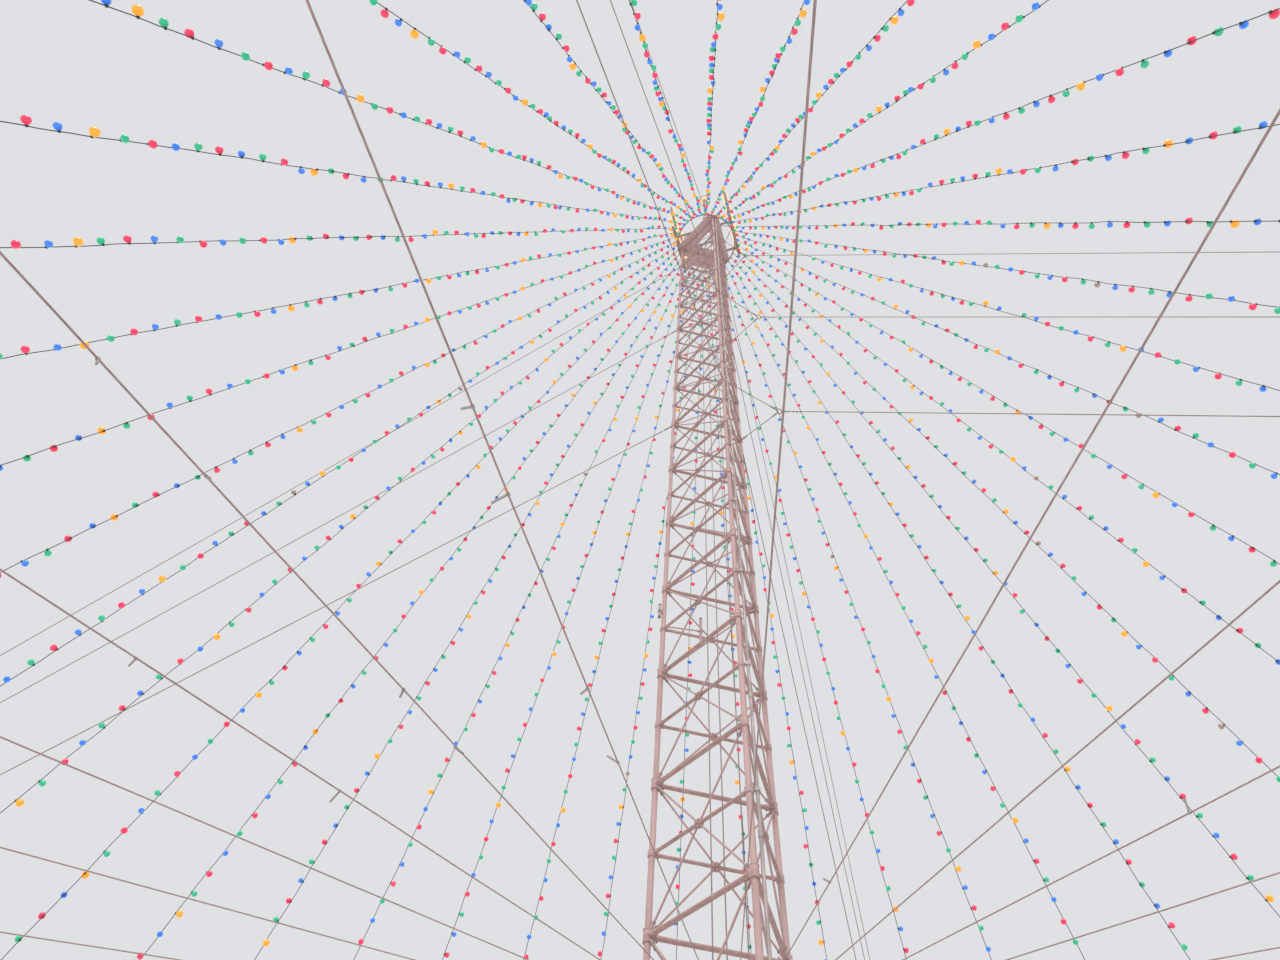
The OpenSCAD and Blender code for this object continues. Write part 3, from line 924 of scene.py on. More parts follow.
def both_ends(lines: Iterable[Line]) -> list[Spot]:
    """A spot at each end of each line, facing along it."""
    return [Spot(here, there - here) for line in lines for here, there in (line, line[::-1])]


class Growth(Enum):
    """The geometry node trees that make what repeats or follows a line."""

    FITTINGS = "place_fittings"
    ROPES = "run_ropes"
    LAMPS = "string_lamps"


class GrowthTree(Group):
    """The wiring of a geometry node group."""

    kind, result, result_type = "GeometryNodeTree", "Geometry", "Geometry"
    sway_inputs = {"Sway": 0.0, "Low_end": 0.0, "High_end": 100.0, "Held_at": -100.0}

    def point_value(self, name: str, kind: str) -> Node:
        """What each point carries under a name."""
        return self.add("GeometryNodeInputNamedAttribute", {"Name": name}, data_type=kind)

    def stored(self, geometry: Any, name: str, value: Any, kind: str) -> Node:
        """Lets each point carry a value under a name."""
        feeds = {"Geometry": geometry, "Name": name, "Value": value}
        return self.add("GeometryNodeStoreNamedAttribute", feeds, data_type=kind, domain="POINT")

    def aimed(self, first: str, way: Any, second: str, side: Any) -> Node:
        """Turns one axis along a way and, about it, a second axis to a side.

        Args:
            first: the axis that is turned first.
            way: where it points.
            second: the axis that follows.
            side: where that one points, as far as it can.

        Returns:
            The node that gives the rotation.
        """
        kind, along = "FunctionNodeAlignRotationToVector", {"Vector": way}
        turned = {"Rotation": self.add(kind, along, axis=first), "Vector": side}
        return self.add(kind, turned, axis=second, pivot_axis=first)

    def taut_curve(self, sway: Tree, mode: str, steps: Feeds) -> Node:
        """The seed's lines as curves that sway.

        Args:
            sway: the group that pushes them.
            mode: how the curves are divided.
            steps: how finely.

        Returns:
            The node that gives the curves.
        """
        curve = self.add("GeometryNodeMeshToCurve", {"Mesh": self["Geometry"]})
        curve = self.add("GeometryNodeResampleCurve", {"Curve": curve, **steps}, mode=mode)
        titles = [key.replace("_", " ") for key in self.sway_inputs]
        feeds = {"Geometry": curve, **{title: self[title] for title in titles}}
        return self.add("GeometryNodeGroup", feeds, node_tree=sway)

    def stamped(
        self, points: Any, rotation: Any, reach: Any, twist: Any = (0.0, 0.0, 0.0), chosen: Any = True
    ) -> Tree:
        """Ends the tree with a copy of the fitting at each point.

        Args:
            points: the points.
            rotation: how a copy is turned.
            reach: how far it may turn at random about each of its own axes.
            twist: how far it turns about them besides.
            chosen: which points take one.

        Returns:
            The tree.
        """
        drawn = {"Min": self.vector("SCALE", reach, -1.0), "Max": reach, "Seed": self["Seed"]}
        loose = self.add("FunctionNodeRandomValue", drawn, data_type="FLOAT_VECTOR")
        nudge = self.add("FunctionNodeEulerToRotation", {"Euler": self.vector("ADD", loose, twist)})
        feeds = {"Rotation": rotation, "Rotate By": nudge}
        turned = self.add("FunctionNodeRotateRotation", feeds, rotation_space="LOCAL")
        fitting = self.out(self.add("GeometryNodeObjectInfo", {"Object": self["Fitting"]}), "Geometry")
        feeds = {"Points": points, "Selection": chosen, "Instance": fitting, "Rotation": turned}
        return self.finished(self.add("GeometryNodeInstanceOnPoints", feeds))

    def finished(self, geometry: Any) -> Tree:
        """Ends the tree with Realize Instances and Set Material.

        Args:
            geometry: what it made, with instances.

        Returns:
            The tree.
        """
        real = self.add("GeometryNodeRealizeInstances", {"Geometry": geometry})
        feeds = {"Geometry": real, "Material": self["Finish"]}
        return self.close(self.add("GeometryNodeSetMaterial", feeds))


class Growers:
    """Builds the geometry node trees and applies them."""

    def __init__(self) -> None:
        """Builds the trees."""
        sway = self.sway_group()
        self.trees = {
            Growth.FITTINGS: self.fittings_tree(),
            Growth.ROPES: self.ropes_tree(sway),
            Growth.LAMPS: self.lamps_tree(sway),
        }
        for tree in self.trees.values():
            tree.is_modifier = True

    @staticmethod
    def sway_group() -> Tree:
        """Pushes a taut line a little off its straight way, and not where it is held.

        Returns:
            The node group.
        """
        g = GrowthTree("sway", Geometry="Geometry", **GrowthTree.sway_inputs)
        place = g.add("GeometryNodeInputPosition")
        push = g.vector("SUBTRACT", g.out(g.noise(place, 1.9, 2.0), "Color"), (0.5, 0.5, 0.5))
        height = g.part(place, "Z")
        ends = g.maths("MINIMUM", g.less(height, g["Low end"]), g.less(g["High end"], height))
        free = g.unit(g.maths("MINIMUM", ends, g.maths("ABSOLUTE", g.less(height, g["Held at"]))))
        offset = g.vector("SCALE", push, g.times(g.times(g["Sway"], 2.0), free))
        return g.close(g.add("GeometryNodeSetPosition", {"Geometry": g["Geometry"], "Offset": offset}))

    @staticmethod
    def fittings_tree() -> Tree:
        """One fitting at each point, turned by the point's two directions.

        Returns:
            The tree.
        """
        takes = {"Geometry": "Geometry", "Fitting": "Object", "Tilt": 0.0, "Seed": 3, "Finish": "Material"}
        g = GrowthTree(Growth.FITTINGS.value, **takes)
        facing, across = (g.point_value(name, "FLOAT_VECTOR") for name in ("facing", "across"))
        return g.stamped(g["Geometry"], g.aimed("Z", facing, "X", across), g.xyz(*[g["Tilt"]] * 3))

    @staticmethod
    def ropes_tree(sway: Tree) -> Tree:
        """A round rope on each line, which carries its length and its rim.

        Args:
            sway: the group that pushes it off its line.

        Returns:
            The tree.
        """
        takes = {"Radius": 0.005, "Sides": 6, "Step": 1.0, **GrowthTree.sway_inputs, "Finish": "Material"}
        g = GrowthTree(Growth.ROPES.value, Geometry="Geometry", **takes)
        curve = g.taut_curve(sway, "LENGTH", {"Length": g["Step"]})
        curve = g.stored(curve, "run", g.out(g.add("GeometryNodeSplineParameter"), "Length"), "FLOAT")
        round_ = {"Resolution": g["Sides"], "Radius": g["Radius"]}
        section = g.add("GeometryNodeCurvePrimitiveCircle", round_, mode="RADIUS")
        rim = g.vector("NORMALIZE", g.add("GeometryNodeInputPosition"))
        section = g.stored(section, "rim", rim, "FLOAT_VECTOR")
        rope = {"Curve": curve, "Profile Curve": section, "Fill Caps": True}
        return g.finished(g.add("GeometryNodeCurveToMesh", rope))

    @staticmethod
    def lamps_tree(sway: Tree) -> Tree:
        """Lamps along each line, of those whose place in the colour order is asked for.

        A lamp stands across its line. The line's twist, which changes slowly along it, turns
        the lamps round it from hanging down, and each is a little off besides. One is made
        where its place in the cycle lies between Pick low and Pick high and is a whole number
        of steps from Pick low.

        Args:
            sway: the group that pushes the lamps off their line.

        Returns:
            The tree.
        """
        picks = {"Cycle": 10, "Pick_low": 0, "Pick_high": 9, "Step": 1}
        turns = {"Swing": 0.2, "Twist": 2.8, "Twist_scale": 0.55, "Seed": 5}
        takes = {**picks, **turns, **GrowthTree.sway_inputs, "Finish": "Material"}
        g = GrowthTree(Growth.LAMPS.value, Geometry="Geometry", Fitting="Object", **takes)
        curve = g.taut_curve(sway, "COUNT", {"Count": g.point_value("lamps", "INT")})
        index = g.out(g.add("GeometryNodeSplineParameter"), "Index")
        number = g.maths("ADD", index, g.point_value("first", "INT"))
        spot = g.maths("FLOORED_MODULO", number, g["Cycle"])
        above = g.less(spot, g["Pick low"])
        on_step = g.maths("LESS_THAN", g.maths("FLOORED_MODULO", above, g["Step"]), 0.5)
        enough = g.maths("GREATER_THAN", above, -0.5)
        within = g.maths("LESS_THAN", g.less(spot, g["Pick high"]), 0.5)
        chosen = g.maths("GREATER_THAN", g.times(g.times(on_step, enough), within), 0.5)
        aimed = g.aimed("X", g.add("GeometryNodeInputTangent"), "Z", tuple(UP))
        drift = g.noise(g.add("GeometryNodeInputPosition"), g["Twist scale"], 1.0)
        twist = g.xyz(g.times(g.span(drift, 0.34, 0.66, -1.0, 1.0), g["Twist"]))
        reach = g.xyz(g.times(g["Swing"], 1.2), g["Swing"], g["Swing"])
        return g.stamped(curve, aimed, reach, twist, chosen)

    def grow(
        self, name: str, seed: Mesh, kind: Growth, coat: Coat, inputs: Feeds, shape: Shape | None = None
    ) -> Piece:
        """Runs a tree on a seed mesh and keeps the result as a plain mesh.

        Args:
            name: the piece's name.
            seed: the points or lines that the tree works on.
            kind: which tree.
            coat: the piece's finish.
            inputs: what the tree's other inputs get.
            shape: the fitting that it copies, which is in the scene only meanwhile.

        Returns:
            The finished object, with no modifier.
        """
        given = {"Finish": coat.material, **inputs}
        if shape:
            given["Fitting"] = shown("fitting", shape.mesh("fitting"))
        carrier = shown(name, seed)
        modifier = carrier.modifiers.new("grow", "NODES")
        modifier.node_group = self.trees[kind]
        for item in self.trees[kind].interface.items_tree:
            if item.in_out == "INPUT" and item.name in given:
                modifier[item.identifier] = given[item.name]
        graph = bpy.context.evaluated_depsgraph_get()
        grown = carrier.evaluated_get(graph)
        made = bpy.data.meshes.new_from_object(grown, preserve_all_data_layers=True, depsgraph=graph)
        carrier.modifiers.clear()
        carrier.data = made
        made.name = name
        bpy.data.meshes.remove(seed)
        if shape:
            bpy.data.objects.remove(given["Fitting"])
        return carrier


GROWERS = Growers()


class Part(ABC):
    """A sub-assembly that dresses its CAD nodes and adds its own pieces."""

    @abstractmethod
    def build(self) -> Iterator[Piece]:
        """Dresses the CAD nodes and makes the pieces.

        Yields:
            Each piece.
        """

    @staticmethod
    def dress(coat: Coat, *nodes: str) -> None:
        """Gives CAD nodes a material.

        Args:
            coat: their finish.
            *nodes: their names.
        """
        for name in nodes:
            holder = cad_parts[name]
            if not holder.material_slots:
                holder.data.materials.append(coat.material)
            for slot in holder.material_slots:
                slot.material = coat.material

    @staticmethod
    def keep(piece: Piece, slot: str, *replaced: str) -> Piece:
        """Lets a piece ride on the mast.

        Args:
            piece: the piece.
            slot: the record's material slot; not used.
            *replaced: the CAD nodes that it stands for.

        Returns:
            The piece.
        """
        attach(piece, "root")
        if replaced:
            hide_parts(*replaced)
        return piece

    def scatter(
        self, name: str, shape: Shape, spots: Sequence[Spot], coat: Coat, slot: str, tilt: float = 0.0
    ) -> Piece:
        """Copies a fitting to each spot, as one piece.

        Args:
            name: the piece's name.
            shape: the fitting.
            spots: where its copies go.
            coat: their finish.
            slot: the record's material slot, which is passed on and not used.
            tilt: how far each may turn at random, in radians.

        Returns:
            The piece.
        """
        seed = spots_mesh(spots)
        return self.keep(GROWERS.grow(name, seed, Growth.FITTINGS, coat, {"Tilt": tilt}, shape), slot)

    def rope(
        self,
        name: str,
        lines: Iterable[Line],
        radius: float,
        coat: Coat,
        slot: str,
        node: str,
        **inputs: Any,
    ) -> Piece:
        """slot: the record's material slot, which is passed on and not used.
            node: the CAD node that it stands for.
            **inputs: the tree's other inputs.

        Returns:
            The piece.
        """
        given = {"Radius": radius, "Sides": 8, "Step": 4.0, **inputs}
        piece = GROWERS.grow(name, runs_mesh([Run(*line) for line in lines]), Growth.ROPES, coat, given)
        piece.data.polygons.foreach_set("use_smooth", [True] * len(piece.data.polygons))
        return self.keep(piece, slot, node)


def all_round(first: float, count: int) -> list[float]:
    """Bearings that are evenly spaced all the way round."""
    return [first + 360.0 / count * k for k in range(count)]


def ring(
    centre: Vector,
    radius: float,
    bearings: Iterable[float],
    facing: Vector | None = None,
    turned: bool = False,
) -> list[Spot]:
    """Spots round a centre.

    Args:
        centre: the centre.
        radius: how far from it they are.
        bearings: their bearings.
        facing: the way they face, or none for outwards.
        turned: lets their X sides point outwards.

    Returns:
        The spots.
    """
    spots = []
    for out in bearings:
        way = polar(1.0, out)
        spots.append(Spot(centre + polar(radius, out), facing or way, way if turned else None))
    return spots


def hex_bolt(radius: float, height: float, shank: float = 0.0) -> Shape:
    """A hexagonal head with a chamfered top.

    Args:
        radius: over its corners.
        height: of the head.
        shank: how far the end of a threaded shank stands above it.

    Returns:
        The shape.
    """
    shape = Shape().lathe(((radius, SUNK), (radius, height * 0.8), (radius * 0.84, height)), 6)
    if shank:
        thread, end = radius * 0.52, radius * 0.36
        shape.lathe(((thread, height * 0.9), (thread, height + shank * 0.85), (end, height + shank)), 6)
    return shape


def washered_nut(radius: float, height: float, shank: float) -> Shape:
    """A nut on a washer with its stud standing out."""
    washer = radius * 1.45
    return hex_bolt(radius, height + 0.002, shank).lathe(((washer, SUNK), (washer, 0.0022)), 12)


def wire_grip(rope: float) -> Shape:
    """A saddle and a bow with two nuts that grip a rope along Z.

    Args:
        rope: the rope's radius.

    Returns:
        The shape.
    """
    wide, leg_end = rope + 0.005, rope + 0.009
    reach = wide * 0.75
    shape = Shape().box((-wide, rope * 0.2, -0.006), (wide, rope + 0.004, 0.006))
    turns = (0.0, 0.6, 1.2, 1.95, 2.55, math.pi)
    bow = [Vector((reach * math.cos(a), -reach * math.sin(a), 0.0)) for a in turns]
    shape.tube([Vector((reach, leg_end, 0.0)), *bow, Vector((-reach, leg_end, 0.0))], 0.0018, 5)
    for side in SIDES:
        seat = Matrix.Translation((side * reach, rope + 0.003, 0.0))
        nut = seat @ Matrix.Rotation(-math.pi / 2.0, 4, "X")
        shape.lathe(((0.0036, 0.0), (0.0036, 0.0045)), 6, place=nut)
    return shape


def swage(rope: float, lug: float, length: float) -> Shape:
    """A pressed sleeve from a lug down to a rope along Z.

    Args:
        rope: the rope's radius.
        lug: the lug's radius.
        length: of the sleeve.

    Returns:
        The shape.
    """
    collar, body = lug * 1.12, rope * 2.0
    seat = ((lug, -0.004), (collar, 0.0), (collar, length * 0.12))
    neck = ((body, length * 0.2), (body, length * 0.8), (rope * 1.3, length), (rope * 0.9, length))
    return Shape(smooth=True).lathe(seat + neck, 10)


def turnbuckle(rope: float, length: float) -> Shape:
    """An open-bodied tensioner along Z with its two screws.

    Args:
        rope: the rope's radius.
        length: of the body.

    Returns:
        The shape.
    """
    reach, half = rope * 2.6, length / 2.0
    end, screw = rope * 2.3, rope * 1.05
    shape = Shape().lathe(((end, 0.0), (end, length * 0.12)), 6)
    shape.lathe(((end, length * 0.88), (end, length)), 6)
    for side in SIDES:
        x, wide, deep = side * rope * 1.9, rope * 0.55, rope * 0.8
        shape.box((x - wide, -deep, length * 0.06), (x + wide, deep, length * 0.94))
    shape.lathe(((screw, -reach * 2.0), (screw, half - reach)), 8)
    return shape.lathe(((screw, half + reach), (screw, length + reach * 2.0)), 8)


@dataclass(frozen=True)
class Base(Part):
    """Plinth, base plate, anchor blocks and posts, and what bolts them down."""

    foot_bolts: int = 6
    foot_bolt_ring: float = 0.054
    foot_flange: float = 0.014
    foot_nut: Sizes = (0.0095, 0.008, 0.010)
    leg_foot: float = 0.021
    post_foot: float = 0.029
    block_top: float = 0.2
    post_top: float = 0.53
    post_cap: Profile = ((0.033, -0.006), (0.033, 0.004), (0.024, 0.010), (0.0, 0.013))
    plate_nut: Sizes = (0.015, 0.014, 0.022)
    plate_reach: float = 0.054
    plate_spread: float = 0.078
    rib_half: float = 0.003
    rib_outline: Profile = ((0.0, 0.0), (0.034, 0.0), (0.034, 0.008), (0.0, 0.06))

    def build(self) -> Iterator[Piece]:
        """Dresses the base and adds its nuts, ribs and caps.

        Yields:
            Each piece.
        """
        self.dress(Coat.CONCRETE, "base_plinth", "anchor_blocks")
        self.dress(Coat.ZINC, "base_plate", "anchor_posts", "rope_anchor")
        nut = washered_nut(*self.foot_nut)
        yield self.scatter("foot_nuts", nut, self.foot_bolt_spots(), Coat.BOLT, "galvanised")
        nut = washered_nut(*self.plate_nut)
        yield self.scatter("plate_nuts", nut, self.plate_bolt_spots(), Coat.BOLT, "galvanised")
        yield self.scatter("post_ribs", self.rib(), self.rib_spots(), Coat.ZINC, "galvanised")
        tops = [Spot(polar(PLAN.guy_radius, out, self.post_top), UP) for out in PLAN.guy_bearings]
        cap = Shape(smooth=True).lathe(self.post_cap, 20)
        yield self.scatter("post_caps", cap, tops, Coat.ZINC, "galvanised")

    @property
    def feet(self) -> list[tuple[Vector, float, float]]:
        """The feet of the legs and of the anchor posts.

        Returns:
            For each, its centre, its bearing and its tube's radius.
        """
        plate, block = PLAN.plate_top + self.foot_flange, self.block_top + self.foot_flange
        legs = [(PLAN.leg(i, plate), out, self.leg_foot) for i, out in enumerate(PLAN.leg_bearings)]
        posts = [(polar(PLAN.guy_radius, out, block), out, self.post_foot) for out in PLAN.guy_bearings]
        return legs + posts

    def foot_bolt_spots(self) -> list[Spot]:
        """Bolts round every foot, half a step off its bearing.

        Returns:
            The spots.
        """
        spots = []
        for centre, out, _ in self.feet:
            outs = all_round(out + 180.0 / self.foot_bolts, self.foot_bolts)
            spots += ring(centre, self.foot_bolt_ring, outs, UP)
        return spots

    def rib_spots(self) -> list[Spot]:
        """Ribs between the bolts of every foot.

        Returns:
            The spots.
        """
        spots = []
        for centre, out, radius in self.feet:
            spots += ring(centre, radius, all_round(out, self.foot_bolts), UP, turned=True)
        return spots

    def plate_bolt_spots(self) -> list[Spot]:
        """Two anchor bolts outside each leg through the base plate.

        Returns:
            The spots.
        """
        spots = []
        for i, out in enumerate(PLAN.leg_bearings):
            seat = PLAN.leg(i, PLAN.plate_top) + polar(self.plate_reach, out)
            spots += [Spot(seat + polar(self.plate_spread * side, out + 90.0), UP) for side in SIDES]
        return spots

    def rib(self) -> Shape:
        """A stiffening rib between a tube and its flange.

        Returns:
            The shape.
        """
        corners = [Vector((x, y, z)) for y in (-self.rib_half, self.rib_half) for x, z in self.rib_outline]
        edges = [(0, 4, 5, 1), (1, 5, 6, 2), (2, 6, 7, 3), (3, 7, 4, 0)]
        return Shape(corners=corners, faces=[(0, 1, 2, 3), (7, 6, 5, 4), *edges])


@dataclass(frozen=True)
class Lattice(Part):
    """Legs, struts and crossed rods, with the bolts and nuts that join them."""

    strut_pin: Sizes = (0.0085, 0.006, 0.006)
    strut_reach: float = 0.058
    strut_socket: float = 0.022
    mid_pin: Sizes = (0.0065, 0.005, 0.004)
    mid_reach: float = 0.045
    mid_socket: float = 0.016
    rod_nut: Sizes = (0.0070, 0.0140, SUNK, 0.011)
    rod_reach: float = 0.084
    boss_bolt: Sizes = (0.0055, 0.0045, 0.003)
    boss_bolt_ring: float = 0.019
    boss_cover: Profile = ((0.011, SUNK), (0.011, 0.005), (0.007, 0.008), (0.0, 0.008))
    boss_half: float = 0.016
    lip: Sizes = (0.0299, 0.0325)
    lip_near: float = 0.038
    lip_far: float = 0.045
    screw: Sizes = (0.0055, 0.004)
    screw_seat: float = 0.0275
    screw_rise: float = 0.016
    screw_turns: Sizes = (-100.0, 0.0, 100.0)

    def build(self) -> Iterator[Piece]:
        """Dresses the lattice and adds its fixings.

        Yields:
            Each piece.
        """
        halves = ("lower", "upper")
        self.dress(Coat.LEG, *[f"leg_{leg}_{half}" for leg in "abc" for half in halves])
        for face in ("ab", "bc", "ca"):
            self.dress(Coat.BRACE, f"struts_{face}", *[f"bracing_{face}_{half}" for half in halves])
        pins = self.pin_spots(PLAN.nodes, self.strut_reach, self.strut_socket)
        yield self.scatter("strut_pins", hex_bolt(*self.strut_pin), pins, Coat.BOLT, "brace_paint")
        pins = self.pin_spots(PLAN.halves, self.mid_reach, self.mid_socket)
        yield self.scatter("mid_strut_pins", hex_bolt(*self.mid_pin), pins, Coat.BOLT, "brace_paint")
        nut = Shape().band(*self.rod_nut, 6)
        yield self.scatter("rod_nuts", nut, self.rod_spots(), Coat.BOLT, "brace_paint")
        bolt = hex_bolt(*self.boss_bolt)
        yield self.scatter("boss_bolts", bolt, self.boss_bolt_spots(), Coat.BOLT, "brace_paint")
        cover = Shape(smooth=True).lathe(self.boss_cover, 12)
        middles = [Spot(face, way) for face, way, _ in self.boss_faces()]
        yield self.scatter("boss_covers", cover, middles, Coat.BRACE, "brace_paint")
        lips = Shape().band(*self.lip, -self.lip_far, -self.lip_near, 24)
        lips.band(*self.lip, self.lip_near, self.lip_far, 24)
        castings = [Spot(PLAN.leg(i, z), UP) for z in PLAN.nodes for i in range(3)]
        yield self.scatter("casting_lips", lips, castings, Coat.LEG, "leg_paint")
        screw = hex_bolt(*self.screw)
        yield self.scatter("coupling_screws", screw, self.screw_spots(), Coat.BOLT, "leg_paint")

    @staticmethod
    def pin_spots(heights: Iterable[float], reach: float, radius: float) -> list[Spot]:
        """Bolts through both ends of every strut, seen above and below it.

        Args:
            heights: the struts' heights.
            reach: how far a bolt is from the leg's centre.
            radius: of the socket that it crosses.

        Returns:
            The spots.
        """
        pairs = [(PLAN.leg(i, z), PLAN.leg(j, z)) for z in heights for i, j in LEG_PAIRS]
        seats = [toward(here, there, reach) for here, there in pairs]
        return [Spot(seat + way * radius, way) for seat in seats for way in (UP, DOWN)]

    def rod_spots(self) -> list[Spot]:
        """A nut where each rod leaves its socket.

        Returns:
            The spots.
        """
        rods = [
            (PLAN.leg(i, start), PLAN.leg(j, end))
            for low, high in pairwise(PLAN.nodes)
            for i, j in LEG_PAIRS
            for start, end in ((low, high), (high, low))
        ]
        return [Spot(toward(here, there, self.rod_reach), there - here) for here, there in rods]

    def boss_faces(self) -> Iterator[tuple[Vector, Vector, Vector]]:
        """Both faces of every boss where rods cross.

        Yields:
            A face's centre, the way that it faces and the level way along its strut.
        """
        for z in PLAN.halves:
            for i in range(3):
                middle = (PLAN.leg(i, z) + PLAN.leg(i + 1, z)) / 2.0
                out = Vector((middle.x, middle.y, 0.0)).normalized()
                for way in (out, -out):
                    yield middle + way * self.boss_half, way, out.cross(UP)

    def boss_bolt_spots(self) -> list[Spot]:
        """Four small bolts round the centre of each boss's face.

        Returns:
            The spots.
        """
        turns = [math.radians(turn) for turn in all_round(45.0, 4)]
        return [
            Spot(face + (side * math.cos(turn) + UP * math.sin(turn)) * self.boss_bolt_ring, way)
            for face, way, side in self.boss_faces()
            for turn in turns
        ]

    def screw_spots(self) -> list[Spot]:
        """Three set screws above and below the middle of every coupling.

        Returns:
            The spots.
        """
        spots = []
        for z in PLAN.halves:
            for i, out in enumerate(PLAN.leg_bearings):
                outs = [out + turn for turn in self.screw_turns]
                for side in SIDES:
                    spots += ring(PLAN.leg(i, z + self.screw_rise * side), self.screw_seat, outs)
        return spots


@dataclass(frozen=True)
class Services(Part):
    """Conduit, hoist ropes with their beam, and the two short aerials."""

    conduit_offset: float = 0.054
    conduit_bearing: float = 8.0
    sleeve: Sizes = (0.0119, 0.0155, -0.028, 0.028)
    sleeve_rise: float = 0.22
    clip_screw: Sizes = (0.0045, 0.0035)
    clip_spread: float = 0.012
    clip_face: float = 0.017
    rope_radius: float = 0.0045
    rope_bar_top: float = 0.501
    beam_underside: float = 19.844
    rope_places_x: Sizes = (-0.110, -0.022, 0.110)
    grip_first: float = 0.05
    grip_gap: float = 0.04
    grip_count: int = 3
    aerial_bay: int = 5
    aerial_cap: Profile = ((0.0135, -0.004), (0.0145, 0.0), (0.0145, 0.008), (0.009, 0.014), (0.0, 0.016))
    cap_inset: float = 0.012
    clamp: Sizes = (0.0128, 0.019, -0.014, 0.014)
    clamp_block: tuple[Sizes, Sizes] = ((0.014, -0.006, -0.010), (0.034, 0.006, 0.010))
    short_rise: float = 0.2
    short_reach: float = 0.066
    short_bearing: float = 250.0
    short_length: float = 0.19
    long_rise: float = 0.045
    long_reach: float = 0.346
    long_inset: float = 0.034
    long_length: float = 0.37

    def build(self) -> Iterator[Piece]:
        """Dresses the services and adds sleeves, rope grips and end caps.

        Yields:
            Each piece.
        """
        self.dress(Coat.PIPE, "conduit")
        self.dress(Coat.ZINC, "hoist_beam")
        self.dress(Coat.LEG, "aerial_arms")
        rise, sleeve = PLAN.bay_height * self.sleeve_rise, Shape().band(*self.sleeve, 16)
        joints = [Spot(self.conduit_point(z + rise), UP) for z in PLAN.nodes[:-1]]
        yield self.scatter("conduit_sleeves", sleeve, joints, Coat.PIPE, "galvanised")
        screw = hex_bolt(*self.clip_screw)
        yield self.scatter("clip_screws", screw, self.clip_spots(), Coat.BOLT, "galvanised")
        ends = (self.rope_bar_top, self.beam_underside)
        lines = [tuple(Vector((x, 0.0, z)) for z in ends) for x in self.rope_places_x]
        yield self.rope("hoist_rope_lay", lines, self.rope_radius, Coat.WIRE, "wire_rope", "hoist_ropes")
        grip = wire_grip(self.rope_radius)
        yield self.scatter("hoist_grips", grip, self.grip_spots(), Coat.BOLT, "wire_rope")
        halves = [(centre, length / 2.0 - self.cap_inset) for _, centre, length in self.aerials()]
        tips = [Spot(centre + way * half, way) for centre, half in halves for way in (UP, DOWN)]
        cap = Shape(smooth=True).lathe(self.aerial_cap, 16)
        yield self.scatter("aerial_caps", cap, tips, Coat.HOLDER, "leg_paint")
        clamp = Shape().band(*self.clamp, 16).box(*self.clamp_block)
        arms = [Spot(centre, UP, foot - centre) for foot, centre, _ in self.aerials()]
        yield self.scatter("aerial_clamps", clamp, arms, Coat.BOLT, "leg_paint")

    def conduit_point(self, height: float) -> Vector:
        """The conduit's centre at a height."""
        return PLAN.leg(1, height) + polar(self.conduit_offset, self.conduit_bearing)

    def clip_spots(self) -> list[Spot]:
        """Two screws in the outer face of every conduit clip.

        Returns:
            The spots.
        """
        out, across = polar(1.0, self.conduit_bearing), self.conduit_bearing + 90.0
        spots = []
        for z in PLAN.halves:
            face = self.conduit_point(z) + out * self.clip_face
            spots += [Spot(face + polar(self.clip_spread * side, across), out) for side in SIDES]
        return spots

    def grip_spots(self) -> list[Spot]:
        """Three grips above the bar and three below the beam on each rope.

        Returns:
            The spots.
        """
        spots = []
        for x in self.rope_places_x:
            for k in range(self.grip_count):
                far = self.grip_first + self.grip_gap * k
                for end, way in ((self.rope_bar_top, UP), (self.beam_underside, DOWN)):
                    spots.append(Spot(Vector((x, 0.0, end + way.z * far)), way, Vector((0.0, 1.0, 0.0))))
        return spots

    def aerials(self) -> list[tuple[Vector, Vector, float]]:
        """Where the aerials are.

        Returns:
            For each, the foot of its arm on leg a, its middle and its length.
        """
        middle = PLAN.halves[self.aerial_bay]
        short, long = PLAN.leg(0, middle + self.short_rise), PLAN.leg(0, middle + self.long_rise)
        face = PLAN.leg(2, 0.0) - PLAN.leg(0, 0.0)
        inward = face.cross(UP).normalized()
        return [
            (short, short + polar(self.short_reach, self.short_bearing), self.short_length),
            (long, long + face.normalized() * self.long_reach + inward * self.long_inset, self.long_length),
        ]


